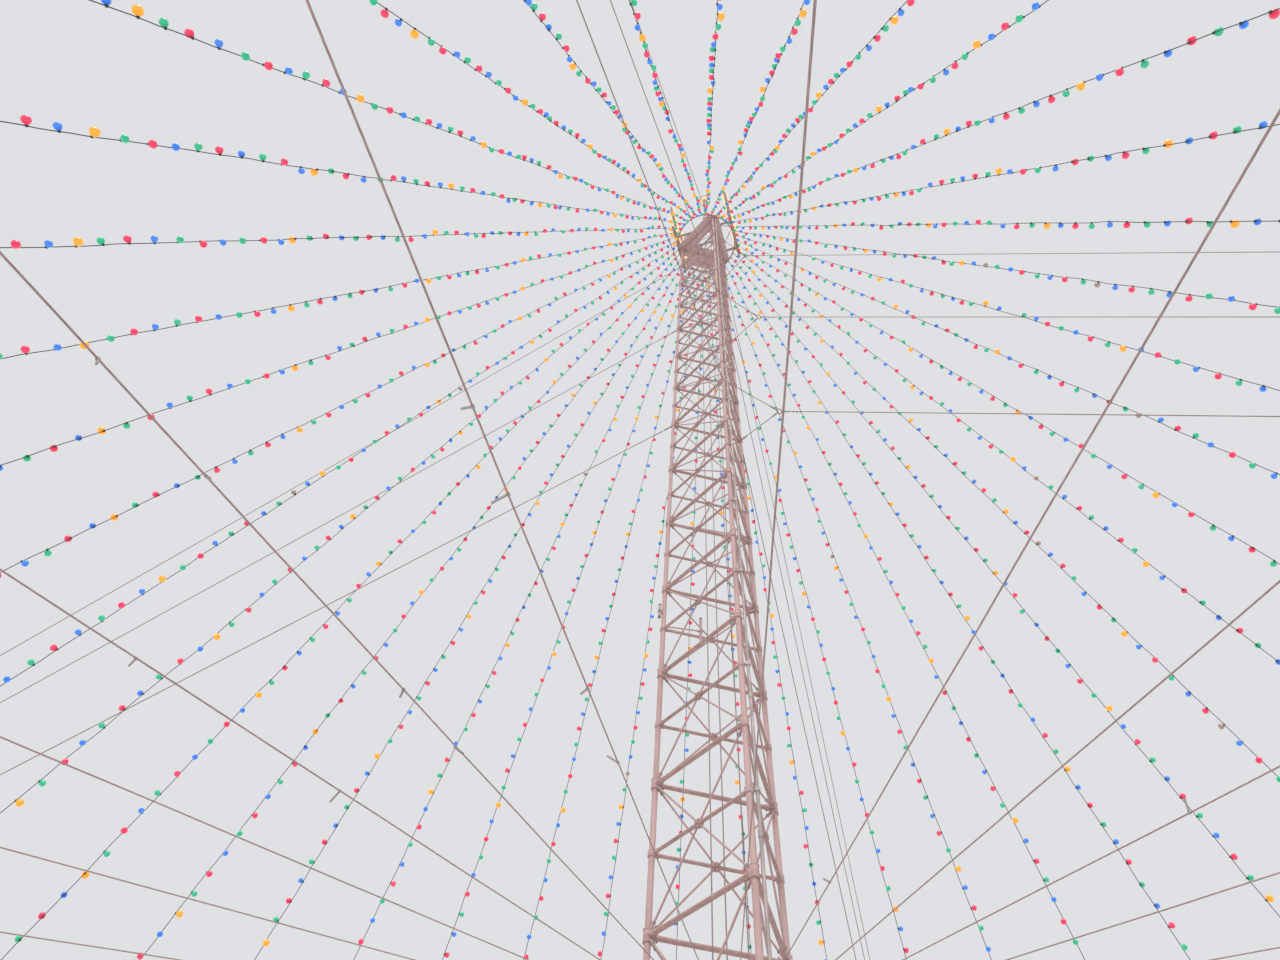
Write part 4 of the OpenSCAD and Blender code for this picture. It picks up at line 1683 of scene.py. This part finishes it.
@dataclass(frozen=True)
class Rings(Part):
    """The hoops round the mast and the clamps on their spokes."""

    clamp_half: float = 0.019
    stud: Profile = ((0.0055, SUNK), (0.0055, 0.005))
    stud_spread: float = 0.55
    pad: Sizes = (0.0098, 0.0175, 0.0, 0.007)

    def build(self) -> Iterator[Piece]:
        """Dresses the hoops and adds a bolted clamp at every spoke.

        Yields:
            Each piece.
        """
        self.dress(Coat.RING, "tether_ring", "guy_rings", "string_ring")
        hoops = [Vector((0.0, 0.0, z)) for z in PLAN.ring_heights]
        outs, radius = PLAN.leg_bearings, PLAN.ring_radius
        clamps = [spot for hoop in hoops for spot in ring(hoop, radius, outs, UP, turned=True)]
        yield self.scatter("ring_clamps", self.clamp(), clamps, Coat.ZINC, "ring_paint")
        seats = [(PLAN.leg(i, z), out) for z in PLAN.ring_heights for i, out in enumerate(outs)]
        pads = [spot for leg, out in seats for spot in ring(leg, PLAN.spoke_seat, [out])]
        yield self.scatter("spoke_pads", Shape().band(*self.pad, 12), pads, Coat.ZINC, "ring_paint")

    def clamp(self) -> Shape:
        """A block with two studs above and two below.

        Returns:
            The shape.
        """
        half = self.clamp_half
        shape = Shape().box((-half, -half, -half), (half, half, half))
        for way, turn in ((-1.0, math.pi), (1.0, 0.0)):
            for side in SIDES:
                seat = Matrix.Translation((0.0, side * half * self.stud_spread, way * half))
                shape.lathe(self.stud, 6, place=seat @ Matrix.Rotation(turn, 4, "X"))
        return shape


@dataclass(frozen=True)
class Guys(Part):
    """Four sets of wire guys with their sleeves, grips and tensioners."""

    radius: float = 0.0055
    names: tuple[str, ...] = ("east", "north", "west", "south")
    sleeve_radius: float = 0.011
    sleeve_length: float = 0.07
    grip_start: float = 0.12
    grip_step: float = 0.05
    grip_count: int = 3
    buckle_start: float = 0.05
    buckle_length: float = 0.26
    buckle_gap: float = 0.08

    def build(self) -> Iterator[Piece]:
        """Runs the guys and their bridles and adds their hardware.

        Yields:
            Each piece.
        """
        guys, bridles = [PLAN.guys(side) for side in range(len(self.names))], PLAN.bridles
        for name, lines, legs in zip(self.names, guys, PLAN.guy_legs):
            led = lines + (bridles if len(legs) > 1 else [])
            yield self.rope(f"guy_lay_{name}", led, self.radius, Coat.WIRE, "wire_rope", f"guys_{name}")
        tops = [line for lines in guys for line in lines]
        feet = [line[::-1] for line in tops]
        sleeves = self.along(tops + bridles + [line[::-1] for line in bridles], 0.0)
        sleeve = swage(self.radius, self.sleeve_radius, self.sleeve_length)
        yield self.scatter("guy_sleeves", sleeve, sleeves, Coat.BOLT, "wire_rope")
        over = self.buckle_start + self.buckle_length + self.buckle_gap
        count = self.grip_count
        grips = self.along(tops, self.grip_start, count) + self.along(feet, over, count)
        yield self.scatter("guy_grips", wire_grip(self.radius), grips, Coat.BOLT, "wire_rope")
        buckle, buckles = turnbuckle(self.radius, self.buckle_length), self.along(feet, self.buckle_start)
        yield self.scatter("guy_tensioners", buckle, buckles, Coat.ZINC, "wire_rope")

    def along(self, lines: Iterable[Line], start: float, count: int = 1) -> list[Spot]:
        """Spots along lines, which face along them with X level.

        Args:
            lines: the lines.
            start: how far the first spot is from a line's start.
            count: how many spots each line gets.

        Returns:
            The spots.
        """
        return [
            Spot(toward(here, there, start + self.grip_step * k), there - here, (there - here).cross(UP))
            for here, there in lines
            for k in range(count)
        ]


def by_sector(lines: Sequence[Line]) -> list[tuple[str, Sequence[Line]]]:
    """The letter of each third of the way round, with its lines."""
    third = len(lines) // 3
    return [(letter, lines[n * third : (n + 1) * third]) for n, letter in enumerate("abc")]


UNLIT_LAMPS = {1: (45,), 3: (50,), 4: (35, 48), 8: (57,), 13: (43,), 16: (63,), 21: (43, 57), 38: (47, 55)}
"""Lamps that have failed, by string, counted from its stake."""


@dataclass(frozen=True)
class LampStrings(Part):
    """Strings of coloured lamps from the head ring down to the stakes.

    The lower part of a string has its lamps close together and the upper part has them
    wider apart. The colour order drifts by about one lamp from string to string.
    """

    cable_radius: float = 0.004
    low_start: float = 0.32
    low_gap: float = 0.2325
    low_lamps: int = 65
    high_gap: float = 0.295
    high_lamps: int = 20
    order: int = 10
    spare_orders: int = 10
    kinds: tuple[tuple[str, Coat, float, range], ...] = (
        ("lamps_amber", Coat.AMBER, 1.2, range(1)),
        ("lamps_green", Coat.GREEN, 1.0, range(1, 10, 3)),
        ("lamps_red", Coat.RED, 1.06, range(2, 10, 3)),
        ("lamps_blue", Coat.BLUE, 0.96, range(3, 10, 3)),
    )
    amber_lamp: float = 66.0
    amber_wave: float = 2.1
    clearance: float = 0.085
    sway: float = 0.02
    sway_stop: float = 0.05
    swing: float = 0.3
    neck: float = 0.006
    holder_rows: Profile = ((0.0140, -0.012), (0.0120, -0.003), (0.0085, 0.008))
    bulb_radius: float = 0.032
    bulb_length: float = 0.058
    bulb_rows: Profile = ((0.0, 0.0), (0.50, 0.05), (0.87, 0.22), (1.0, 0.48), (0.80, 0.78))
    bulb_neck: float = 0.011
    warm_middle: float = 0.4
    warm_fall: float = 1.7
    lug_radius: float = 0.0098
    lug_start: float = 0.006
    sleeve_length: float = 0.05
    tie_radius: float = 0.01
    tie_end: float = 0.0078
    collar_radius: float = 0.0118

    def build(self) -> Iterator[Piece]:
        """Runs the cables and hangs the lamps in their colours.

        Yields:
            Each piece.
        """
        given = {"Sides": 6, "Step": self.low_gap / 2.0, **self.hanging}
        for letter, lines in by_sector(PLAN.strings):
            name, node = f"lamp_cable_{letter}", f"light_strings_{letter}"
            yield self.rope(name, lines, self.cable_radius, Coat.CABLE, "lamp_cable", node, **given)
        rows, failed = self.lamp_rows(), self.unlit_rows()
        yield self.hang("lamp_holders", self.holder(), rows, Coat.HOLDER, range(self.order))
        for name, coat, size, picks in self.kinds:
            yield self.hang(name, self.bulb(size), rows, coat, picks)
        yield self.hang("unlit_holders", self.holder(), failed, Coat.HOLDER, range(1))
        yield self.hang("unlit_lamps", self.bulb(), failed, Coat.UNLIT, range(1))
        sleeve = swage(self.cable_radius, self.lug_radius, self.sleeve_length)
        yield self.scatter("string_sleeves", sleeve, both_ends(PLAN.strings), Coat.BOLT, "lamp_cable")
        ties = self.tie_spots([PLAN.string_line(k) for k in range(PLAN.string_count)])
        yield self.scatter("tie_sleeves", self.tie_sleeve(), ties, Coat.ZINC, "lamp_cable")
        lug = Shape().lathe(((self.lug_radius, self.lug_start), (self.lug_radius, PLAN.lug_length)), 8)
        yield self.scatter("tie_lugs", lug, self.tie_spots(PLAN.tethers), Coat.ZINC, "lamp_cable")

    @property
    def hanging(self) -> dict[str, float]:
        """How a string moves in the wind between its ends and its tether."""
        ends = {"Low end": PLAN.string_low, "High end": PLAN.nodes[-1] - self.sway_stop}
        return {"Sway": self.sway, **ends, "Held at": PLAN.tie_height}

    def hang(self, name: str, shape: Shape, rows: Sequence[Run], coat: Coat, picks: range) -> Piece:
        """Hangs one kind of lamp or holder along the rows, as one piece.

        Args:
            name: the piece's name.
            shape: the lamp or holder.
            rows: where the lamps of all kinds sit.
            coat: its finish.
            picks: the places in the colour order that take it.

        Returns:
            The piece.
        """
        picked = {"Pick low": picks.start, "Pick high": picks.stop - 1, "Step": picks.step}
        given = {"Cycle": self.order, **picked, "Swing": self.swing, **self.hanging}
        piece = GROWERS.grow(name, runs_mesh(rows), Growth.LAMPS, coat, given, shape)
        return self.keep(piece, "lamp_cable")

    def holder(self) -> Shape:
        """The moulded holder round the cable, as a short tapered six-sided block."""
        return Shape().lathe(self.holder_rows, 6)

    def bulb(self, size: float = 1.0) -> Shape:
        """A pear-shaped lamp that hangs in its holder.

        Args:
            size: how large it is beside the green ones.

        Returns:
            The shape.
        """
        radius, length = self.bulb_radius * size, self.bulb_length * size
        low = -self.neck - length
        glass = [(radius * wide, low + length * up) for wide, up in self.bulb_rows]
        shape = Shape(smooth=True).lathe([*glass, (self.bulb_neck, -self.neck)], 10)
        return shape.lit(lambda z: 1.0 - abs((z - low) / length - self.warm_middle) * self.warm_fall)

    def colour_shift(self, index: int) -> int:
        """How far the colour order is moved along on one string.

        Args:
            index: the string's number.

        Returns:
            How many lamps it is moved by.
        """
        share = index / PLAN.string_count
        wave = self.amber_wave * math.sin(2.0 * math.pi * share)
        return -round(self.amber_lamp - (PLAN.string_count + 1) * share - wave)

    def lamp_spots(self, k: int) -> list[Vector]:
        """Where the lamps of a string sit, from its stake up.

        Args:
            k: the string's number.

        Returns:
            The close ones, then the wider ones.
        """
        top, low = PLAN.strings[k]
        last = self.low_start + self.low_gap * (self.low_lamps - 1)
        close = [self.low_start + self.low_gap * n for n in range(self.low_lamps)]
        wide = [last + self.high_gap * (n + 1) for n in range(self.high_lamps)]
        return [toward(low, top, distance) for distance in close + wide]

    def lamp_rows(self) -> list[Run]:
        """The lamps that are lit, as rows of evenly spaced neighbours.

        Lamps that have failed and lamps that a guy would touch are left out, and so is a
        lamp that would stand alone.

        Returns:
            The rows.
        """
        guys = [line for side in range(len(PLAN.guy_bearings)) for line in PLAN.guys(side)]
        rows = []
        for k in range(PLAN.string_count):
            spots, shift = self.lamp_spots(k), self.colour_shift(k) + self.spare_orders * self.order
            lit = [n for n in range(len(spots)) if n not in UNLIT_LAMPS.get(k, ())]
            lit = [n for n in lit if all(self.is_clear(spots[n], *guy) for guy in guys)]
            for _, pairs in groupby(enumerate(lit), lambda p: (p[1] - p[0], p[1] < self.low_lamps)):
                row = [n for _, n in pairs]
                if len(row) > 1:
                    rows.append(Run(spots[row[0]], spots[row[-1]], len(row), shift + row[0]))
        return rows

    def unlit_rows(self) -> list[Run]:
        """A row for each lamp that has failed, from it to its neighbour."""
        failed = [(self.lamp_spots(k), n) for k, numbers in UNLIT_LAMPS.items() for n in numbers]
        return [Run(spots[n], spots[n + 1]) for spots, n in failed]

    def is_clear(self, spot: Vector, top: Vector, low: Vector) -> bool:
        """Whether a guy passes far enough from a point."""
        return (spot - top).cross((low - top).normalized()).length >= self.clearance

    def tie_sleeve(self) -> Shape:
        """A sleeve with two clamping collars, along Z.

        Returns:
            The shape.
        """
        half, full, end = PLAN.tie_length / 2.0, self.tie_radius, self.tie_end
        shape = Shape().lathe(((end, -half), (full, -half + 0.003), (full, half - 0.003), (end, half)), 8)
        foot, crown = self.lug_radius, self.collar_radius
        for z in (-half * 0.6, half * 0.6):
            shape.lathe(((foot, z - 0.004), (crown, z - 0.003), (crown, z + 0.003), (foot, z + 0.004)), 8)
        return shape

    @staticmethod
    def tie_spots(lines: Iterable[Line]) -> list[Spot]:
        """Where each string takes its tether, facing back along a line for each."""
        return [Spot(PLAN.tie_point(k), top - low) for k, (top, low) in enumerate(lines)]


@dataclass(frozen=True)
class Tie:
    """A tie round a tether.

    It says where the tie sits along the tether, how far its loose end is turned round it,
    and whether that end is long.
    """

    share: float
    turn: float
    long: bool = False


SOUTH = range(25, 37)
"""The tethers to the south, on which the ties are known up to head height."""
SOUTH_TIES: dict[int, tuple[Tie, ...]] = {
    28: (Tie(0.309, 310.0, True), Tie(0.416, 300.0)),
    29: (Tie(0.309, 40.0, True), Tie(0.356, 285.0), Tie(0.471, 225.0), Tie(0.516, 240.0)),
    30: (Tie(0.284, 30.0, True), Tie(0.337, 320.0), Tie(0.439, 325.0, True), Tie(0.473, 0.0)),
    32: (Tie(0.176, 20.0),),
    34: (Tie(0.305, 80.0, True),),
}
"""Those ties, by tether."""


@dataclass(frozen=True)
class Tethers(Part):
    """Twisted tethers from the low ring to the lamp strings, with loose tie ends, and the stakes."""

    radius: float = 0.0026
    step: float = 0.25
    sway: float = 0.006
    ties: Sizes = (0.16, 0.37, 0.68, 0.86)
    known_share: float = 0.5
    tie_drift: float = 0.06
    tie_wave: Sizes = (2.3, 1.7)
    tie_stride: int = 5
    tie_turn: float = 137.5
    tie_tilt: float = 0.12
    knot_half: float = 0.004
    knot_wall: float = 0.0014
    end_half: Sizes = (0.002, 0.0032)
    end_short: float = 0.024
    end_long: float = 0.044
    sleeve_radius: float = 0.0098
    sleeve_length: float = 0.045
    buckle_radius: float = 0.0034
    buckle_length: float = 0.11
    buckle_start: float = 0.09
    stake_cap: Profile = ((0.0185, -0.012), (0.0185, 0.0), (0.013, 0.006), (0.0, 0.008))

    def build(self) -> Iterator[Piece]:
        """Runs the tethers and adds their tie ends, sleeves and tensioners, and the stakes' caps.

        Yields:
            Each piece.
        """
        self.dress(Coat.ZINC, "ground_stakes")
        ends = {"Low end": PLAN.tie_height, "High end": PLAN.ring_heights[0]}
        given = {"Step": self.step, "Sway": self.sway, **ends}
        for letter, lines in by_sector(PLAN.tethers):
            name, node = f"tether_lay_{letter}", f"tethers_{letter}"
            yield self.rope(name, lines, self.radius, Coat.TETHER, "wire_rope", node, **given)
        for name, is_long in (("tether_ties_short", False), ("tether_ties_long", True)):
            spots = self.tie_spots(is_long)
            yield self.scatter(name, self.tie(is_long), spots, Coat.TIE, "wire_rope", tilt=self.tie_tilt)
        sleeve = swage(self.radius, self.sleeve_radius, self.sleeve_length)
        yield self.scatter("tether_sleeves", sleeve, both_ends(PLAN.tethers), Coat.BOLT, "wire_rope")
        buckles = [Spot(toward(top, low, self.buckle_start), low - top) for top, low in PLAN.tethers]
        buckle = turnbuckle(self.buckle_radius, self.buckle_length)
        yield self.scatter("tether_tensioners", buckle, buckles, Coat.BOLT, "wire_rope")
        outs = [PLAN.string_bearing(k) for k in range(PLAN.string_count)]
        stakes = ring(Vector((0.0, 0.0, PLAN.stake_height)), PLAN.stake_radius, outs, UP)
        cap = Shape(smooth=True).lathe(self.stake_cap, 14)
        yield self.scatter("stake_caps", cap, stakes, Coat.ZINC, "galvanised")

    def tie(self, is_long: bool) -> Shape:
        """A knot along Z and the flat loose end that stands off it.

        Args:
            is_long: whether the loose end is long.

        Returns:
            The shape.
        """
        wide, (across, deep) = self.radius + self.knot_wall, self.end_half
        end = wide + (self.end_long if is_long else self.end_short)
        knot = Shape().box((-wide, -self.knot_half, -wide), (wide, self.knot_half, wide))
        return knot.box((-across, -deep, wide * 0.9), (across, deep, end))

    def ties_on(self, k: int) -> list[Tie]:
        """The ties of one tether, uneven ones where none are known.

        Args:
            k: the tether's number.

        Returns:
            The ties.
        """
        ties, (by_tether, by_tie) = list(SOUTH_TIES.get(k, ())), self.tie_wave
        for i, share in enumerate(self.ties):
            if k not in SOUTH or share > self.known_share:
                spot = share + self.tie_drift * math.sin(by_tether * k + by_tie * i)
                turn = self.tie_turn * (self.tie_stride * k + i)
                ties.append(Tie(spot, turn, (i + k) % 2 == 0))
        return ties

    def tie_spots(self, is_long: bool) -> list[Spot]:
        """Where the ties with one kind of loose end sit, each turned its own way.

        Args:
            is_long: whether the loose end is long.

        Returns:
            The spots.
        """
        spots = []
        for k, (top, low) in enumerate(PLAN.tethers):
            along = (low - top).normalized()
            side = along.cross(UP).normalized()
            rise = side.cross(along)
            for tie in self.ties_on(k):
                if tie.long is is_long:
                    turn = math.radians(tie.turn)
                    facing = side * math.cos(turn) + rise * math.sin(turn)
                    spots.append(Spot(top.lerp(low, tie.share), facing, along))
        return spots


@dataclass(frozen=True)
class Stars(Part):
    """The two open stars with their rows of white lamps, and the carriage under them."""

    offset: float = 0.6
    radius: float = 0.765
    centre_height: float = 20.6209
    tip_turn: float = 36.0
    band: float = 0.034
    thickness: float = 0.024
    lamps_per_edge: int = 12
    rib_lamps: int = 3
    rib_start: float = 0.3
    holder: Profile = ((0.0105, -0.002), (0.0105, 0.012), (0.0085, 0.015))
    bulb_seat: float = 0.0085
    bulb_low: float = 0.013
    bulb_base: float = 0.015
    bulb_radius: float = 0.0195
    bulb_rows: Profile = ((0.85, 0.5), (1.0, 1.0), (0.7, 1.75), (0.0, 2.05))
    bulb_warmth: float = 1.2
    lamp_tilt: float = 0.08
    bolt: Sizes = (0.008, 0.006, 0.006)
    foot_height: float = 19.995
    foot_spread: float = 0.018
    beam_under: float = 19.892
    beam_places_y: float = 0.285
    beam_spread: float = 0.012

    def build(self) -> Iterator[Piece]:
        """Dresses the stars and covers both faces with lamps.

        Yields:
            Each piece.
        """
        self.dress(Coat.STAR, "star_east", "star_west")
        self.dress(Coat.RING, "star_carriage")
        spots, holder = self.lamp_spots(), Shape().lathe(self.holder, 8)
        yield self.scatter("star_holders", holder, spots, Coat.HOLDER, "star_frame")
        yield self.scatter("star_lamps", self.bulb(), spots, Coat.WHITE, "star_frame", tilt=self.lamp_tilt)
        yield self.scatter("star_bolts", hex_bolt(*self.bolt), self.bolt_spots(), Coat.BOLT, "star_frame")

    def bulb(self) -> Shape:
        """A small round lamp that stands on its holder.

        Returns:
            The shape.
        """
        r, low = self.bulb_radius, self.bulb_low
        glass = [(r * wide, self.bulb_base + r * up) for wide, up in self.bulb_rows]
        shape = Shape(smooth=True).lathe([(self.bulb_seat, low), *glass], 10)
        return shape.lit(lambda z: (z - low) / (r * self.bulb_warmth))

    def outline(self) -> list[tuple[float, float]]:
        """The corners of the band's centre line.

        Returns:
            How far across and up each is from the star's centre.
        """
        tip, inner = math.radians(self.tip_turn), self.radius * (3.0 - math.sqrt(5.0)) / 2.0
        edge = self.radius * inner * math.sin(tip)
        edge /= math.hypot(self.radius - inner * math.cos(tip), inner * math.sin(tip))
        shrink = 1.0 - self.band / 2.0 / edge
        reaches = [self.radius * shrink, inner * shrink] * 5
        turns = [math.radians(turn) for turn in all_round(0.0, 10)]
        return [(reach * math.sin(turn), reach * math.cos(turn)) for reach, turn in zip(reaches, turns)]

    def face_points(self) -> list[tuple[float, float]]:
        """Where the lamps stand on one face of a star.

        Returns:
            How far across and up each is from the star's centre.
        """
        corners, edge, rib = self.outline(), self.lamps_per_edge, self.rib_lamps + 1
        spots = [
            (y + (next_y - y) * (k / edge), z + (next_z - z) * (k / edge))
            for (y, z), (next_y, next_z) in pairwise(corners + corners[:1])
            for k in range(edge)
        ]
        shares = [self.rib_start + (1.0 - self.rib_start) * k / rib for k in range(1, rib)]
        return spots + [(y * share, z * share) for y, z in corners[1::2] for share in shares]

    @property
    def faces(self) -> list[tuple[float, Vector]]:
        """How far along X each face of each star is, and the way that it faces."""
        half, pairs = self.thickness / 2.0, product((-self.offset, self.offset), SIDES)
        return [(middle + face * half, Vector((face, 0.0, 0.0))) for middle, face in pairs]

    def lamp_spots(self) -> list[Spot]:
        """Every lamp on both faces of both stars."""
        points = [(y, self.centre_height + z) for y, z in self.face_points()]
        return [Spot(Vector((x, y, z)), way, UP) for x, way in self.faces for y, z in points]

    def bolt_spots(self) -> list[Spot]:
        """Bolts through the feet of both stars and through the carriage joints.

        Returns:
            The spots.
        """
        foot = self.radius * math.sin(math.radians(self.tip_turn))
        spots = []
        for number, side in enumerate(SIDES):
            for y in (-foot, foot):
                for shift in (-self.foot_spread, self.foot_spread):
                    for x, way in self.faces[2 * number : 2 * number + 2]:
                        spots.append(Spot(Vector((x, y + shift, self.foot_height)), way))
            for y in (-self.beam_places_y, self.beam_places_y):
                for shift in (-self.beam_spread, self.beam_spread):
                    spots.append(Spot(Vector((side * self.offset + shift, y, self.beam_under)), DOWN))
        return spots


@dataclass(frozen=True)
class Head(Part):
    """Deck, pyramid, pole and beacon over the mast."""

    deck_under: float = 19.88
    deck_nut: Sizes = (0.008, 0.006, 0.006)
    deck_bolt_ring: float = 0.047
    pole_radius: float = 0.028
    rung_first: float = 0.18
    rung_step: float = 0.15
    rungs: int = 9
    rung_reach: float = 0.12
    rung_cap: Profile = ((0.0078, -0.003), (0.0105, 0.0), (0.0105, 0.004), (0.007, 0.007), (0.0, 0.008))
    weld: Sizes = (0.0075, 0.0115, -0.002, 0.0035)
    collar_nut: Sizes = (0.006, 0.005, 0.004)
    collar_bolt_ring: float = 0.045
    collar_flange: float = 0.014
    lens_section: Profile = (
        (0.042, 0.018), (0.046, 0.008), (0.062, 0.001),
        (0.090, 0.001), (0.112, 0.008), (0.118, 0.018),
    )
    lens_warmth: float = 0.7

    def build(self) -> Iterator[Piece]:
        """Dresses the head and adds its bolts, end caps and beacon lens.

        Yields:
            Each piece.
        """
        self.dress(Coat.DECK, "head_deck")
        self.dress(Coat.LEG, "head_frame", "head_pole")
        self.dress(Coat.DISH, "head_beacon")
        legs = [(PLAN.leg(i, self.deck_under), out - 60.0) for i, out in enumerate(PLAN.leg_bearings)]
        under = [s for leg, out in legs for s in ring(leg, self.deck_bolt_ring, all_round(out, 3), DOWN)]
        yield self.scatter("deck_nuts", hex_bolt(*self.deck_nut), under, Coat.BOLT, "ring_paint")
        cap = Shape(smooth=True).lathe(self.rung_cap, 12)
        yield self.scatter("rung_caps", cap, self.rung_spots(self.rung_reach), Coat.HOLDER, "leg_paint")
        weld, roots = Shape(smooth=True).band(*self.weld, 10), self.rung_spots(self.pole_radius + SUNK)
        yield self.scatter("rung_welds", weld, roots, Coat.LEG, "leg_paint")
        collar = Vector((0.0, 0.0, PLAN.collar_top + self.collar_flange))
        bolts = ring(collar, self.collar_bolt_ring, all_round(30.0, 6), UP)
        yield self.scatter("collar_nuts", washered_nut(*self.collar_nut), bolts, Coat.BOLT, "leg_paint")
        yield self.lens()

    def rung_spots(self, reach: float) -> list[Spot]:
        """A spot on each side of the pole at every rung, facing outwards.

        Args:
            reach: how far from the mast axis it is.

        Returns:
            The spots.
        """
        spots = []
        for n in range(self.rungs):
            height = PLAN.collar_top + self.rung_first + self.rung_step * n
            for side in SIDES:
                spots.append(Spot(Vector((0.0, side * reach, height)), Vector((0.0, side, 0.0))))
        return spots

    def lens(self) -> Piece:
        """Makes the ring-shaped lens inside the beacon's dish.

        Returns:
            The piece.
        """
        low = PLAN.collar_top + PLAN.pole_height
        section = [(radius, low + rise) for radius, rise in self.lens_section]
        shape = Shape(smooth=True).lathe(section, 40, closed=True).lit(lambda _: self.lens_warmth)
        piece = shown("beacon_lens", shape.mesh("beacon_lens"))
        piece.data.materials.append(Coat.WHITE.material)
        return self.keep(piece, "beacon")


@dataclass(frozen=True)
class Studio:
    """Camera, lights, pale background and floor."""

    eye: Sizes = (1.158, -5.006, 0.80)
    heading: float = -22.53
    pitch: float = 59.94
    roll: float = 6.28
    focal_share: float = 895.3 / 1280.0
    sensor: float = 36.0
    view_end: float = 500.0
    backdrop: Colour = (0.74, 0.75, 0.77, 1.0)
    sky: Colour = (1.0, 1.0, 1.0, 1.0)
    sky_light: float = 0.5
    suns: tuple[tuple[str, float, Sizes, float], ...] = (
        ("key_light", 1.5, (38.0, -18.0, 35.0), 0.6),
        ("fill_light", 0.42, (62.0, 0.0, -120.0), 1.2),
    )
    floor_radius: float = 220.0
    floor_levels: Sizes = (-0.5, -0.002)

    def build(self) -> None:
        """Makes the stage."""
        self.camera()
        self.world()
        for sun in self.suns:
            self.sun(*sun)
        self.floor()

    def camera(self) -> None:
        """Sets the camera at the photograph's place and angle."""
        heading, pitch, roll = (math.radians(a) for a in (self.heading, self.pitch, self.roll))
        flat = math.cos(pitch)
        look = Vector((math.sin(heading) * flat, math.cos(heading) * flat, math.sin(pitch)))
        level = Vector((math.cos(heading), -math.sin(heading), 0.0))
        rise = level.cross(look)
        right = level * math.cos(roll) + rise * math.sin(roll)
        top = rise * math.cos(roll) - level * math.sin(roll)
        data = bpy.data.cameras.new("camera")
        data.sensor_width = self.sensor
        data.lens = self.focal_share * self.sensor
        data.clip_end = self.view_end
        camera = shown("camera", data)
        turn = Matrix((right, top, -look)).transposed().to_4x4()
        camera.matrix_world = Matrix.Translation(self.eye) @ turn
        bpy.context.scene.camera = camera

    def world(self) -> None:
        """Lights the scene softly and shows a plain backdrop to the camera."""
        world = bpy.data.worlds.new("studio")
        bpy.context.scene.world = world
        world.use_nodes = True
        world.node_tree.nodes.clear()
        w = Wiring(world.node_tree)
        path = w.add("ShaderNodeLightPath")
        mirrored = w.maths("MAXIMUM", w.out(path, "Is Glossy Ray"), w.out(path, "Is Transmission Ray"))
        seen = w.maths("MAXIMUM", w.out(path, "Is Camera Ray"), mirrored)
        light = w.add("ShaderNodeBackground", {"Color": self.sky, "Strength": self.sky_light})
        backdrop = w.add("ShaderNodeBackground", {"Color": self.backdrop, "Strength": 1.0})
        mixed = w.add("ShaderNodeMixShader", {0: seen, 1: light, 2: backdrop})
        w.add("ShaderNodeOutputWorld", {"Surface": mixed})

    @staticmethod
    def sun(name: str, power: float, turn: Sizes, size: float) -> None:
        """Adds a soft sun.

        Args:
            name: its name.
            power: its strength.
            turn: its turns about X, Y and Z.
            size: the angle that it fills, in radians.
        """
        data = bpy.data.lights.new(name, "SUN")
        data.energy, data.angle = power, size
        shown(name, data).rotation_euler = [math.radians(angle) for angle in turn]

    def floor(self) -> None:
        """Lays the pale floor just under the plinth."""
        disc = Shape().lathe([(self.floor_radius, level) for level in self.floor_levels], 96)
        floor = shown("floor", disc.mesh("floor"))
        floor.data.materials.append(Coat.FLOOR.material)


def main() -> None:
    """Builds the stage and the sub-assemblies in order."""
    logging.basicConfig(level=logging.INFO, format="%(name)s: %(message)s")
    bpy.context.scene.view_settings.view_transform = "Standard"
    Studio().build()
    for part in (Base(), Lattice(), Services(), Rings(), Guys(), LampStrings(), Tethers(), Stars(), Head()):
        for piece in part.build():
            LOG.info("%s: %s, %d faces", type(part).__name__, piece.name, len(piece.data.polygons))


if __name__ == "__main__":
    main()
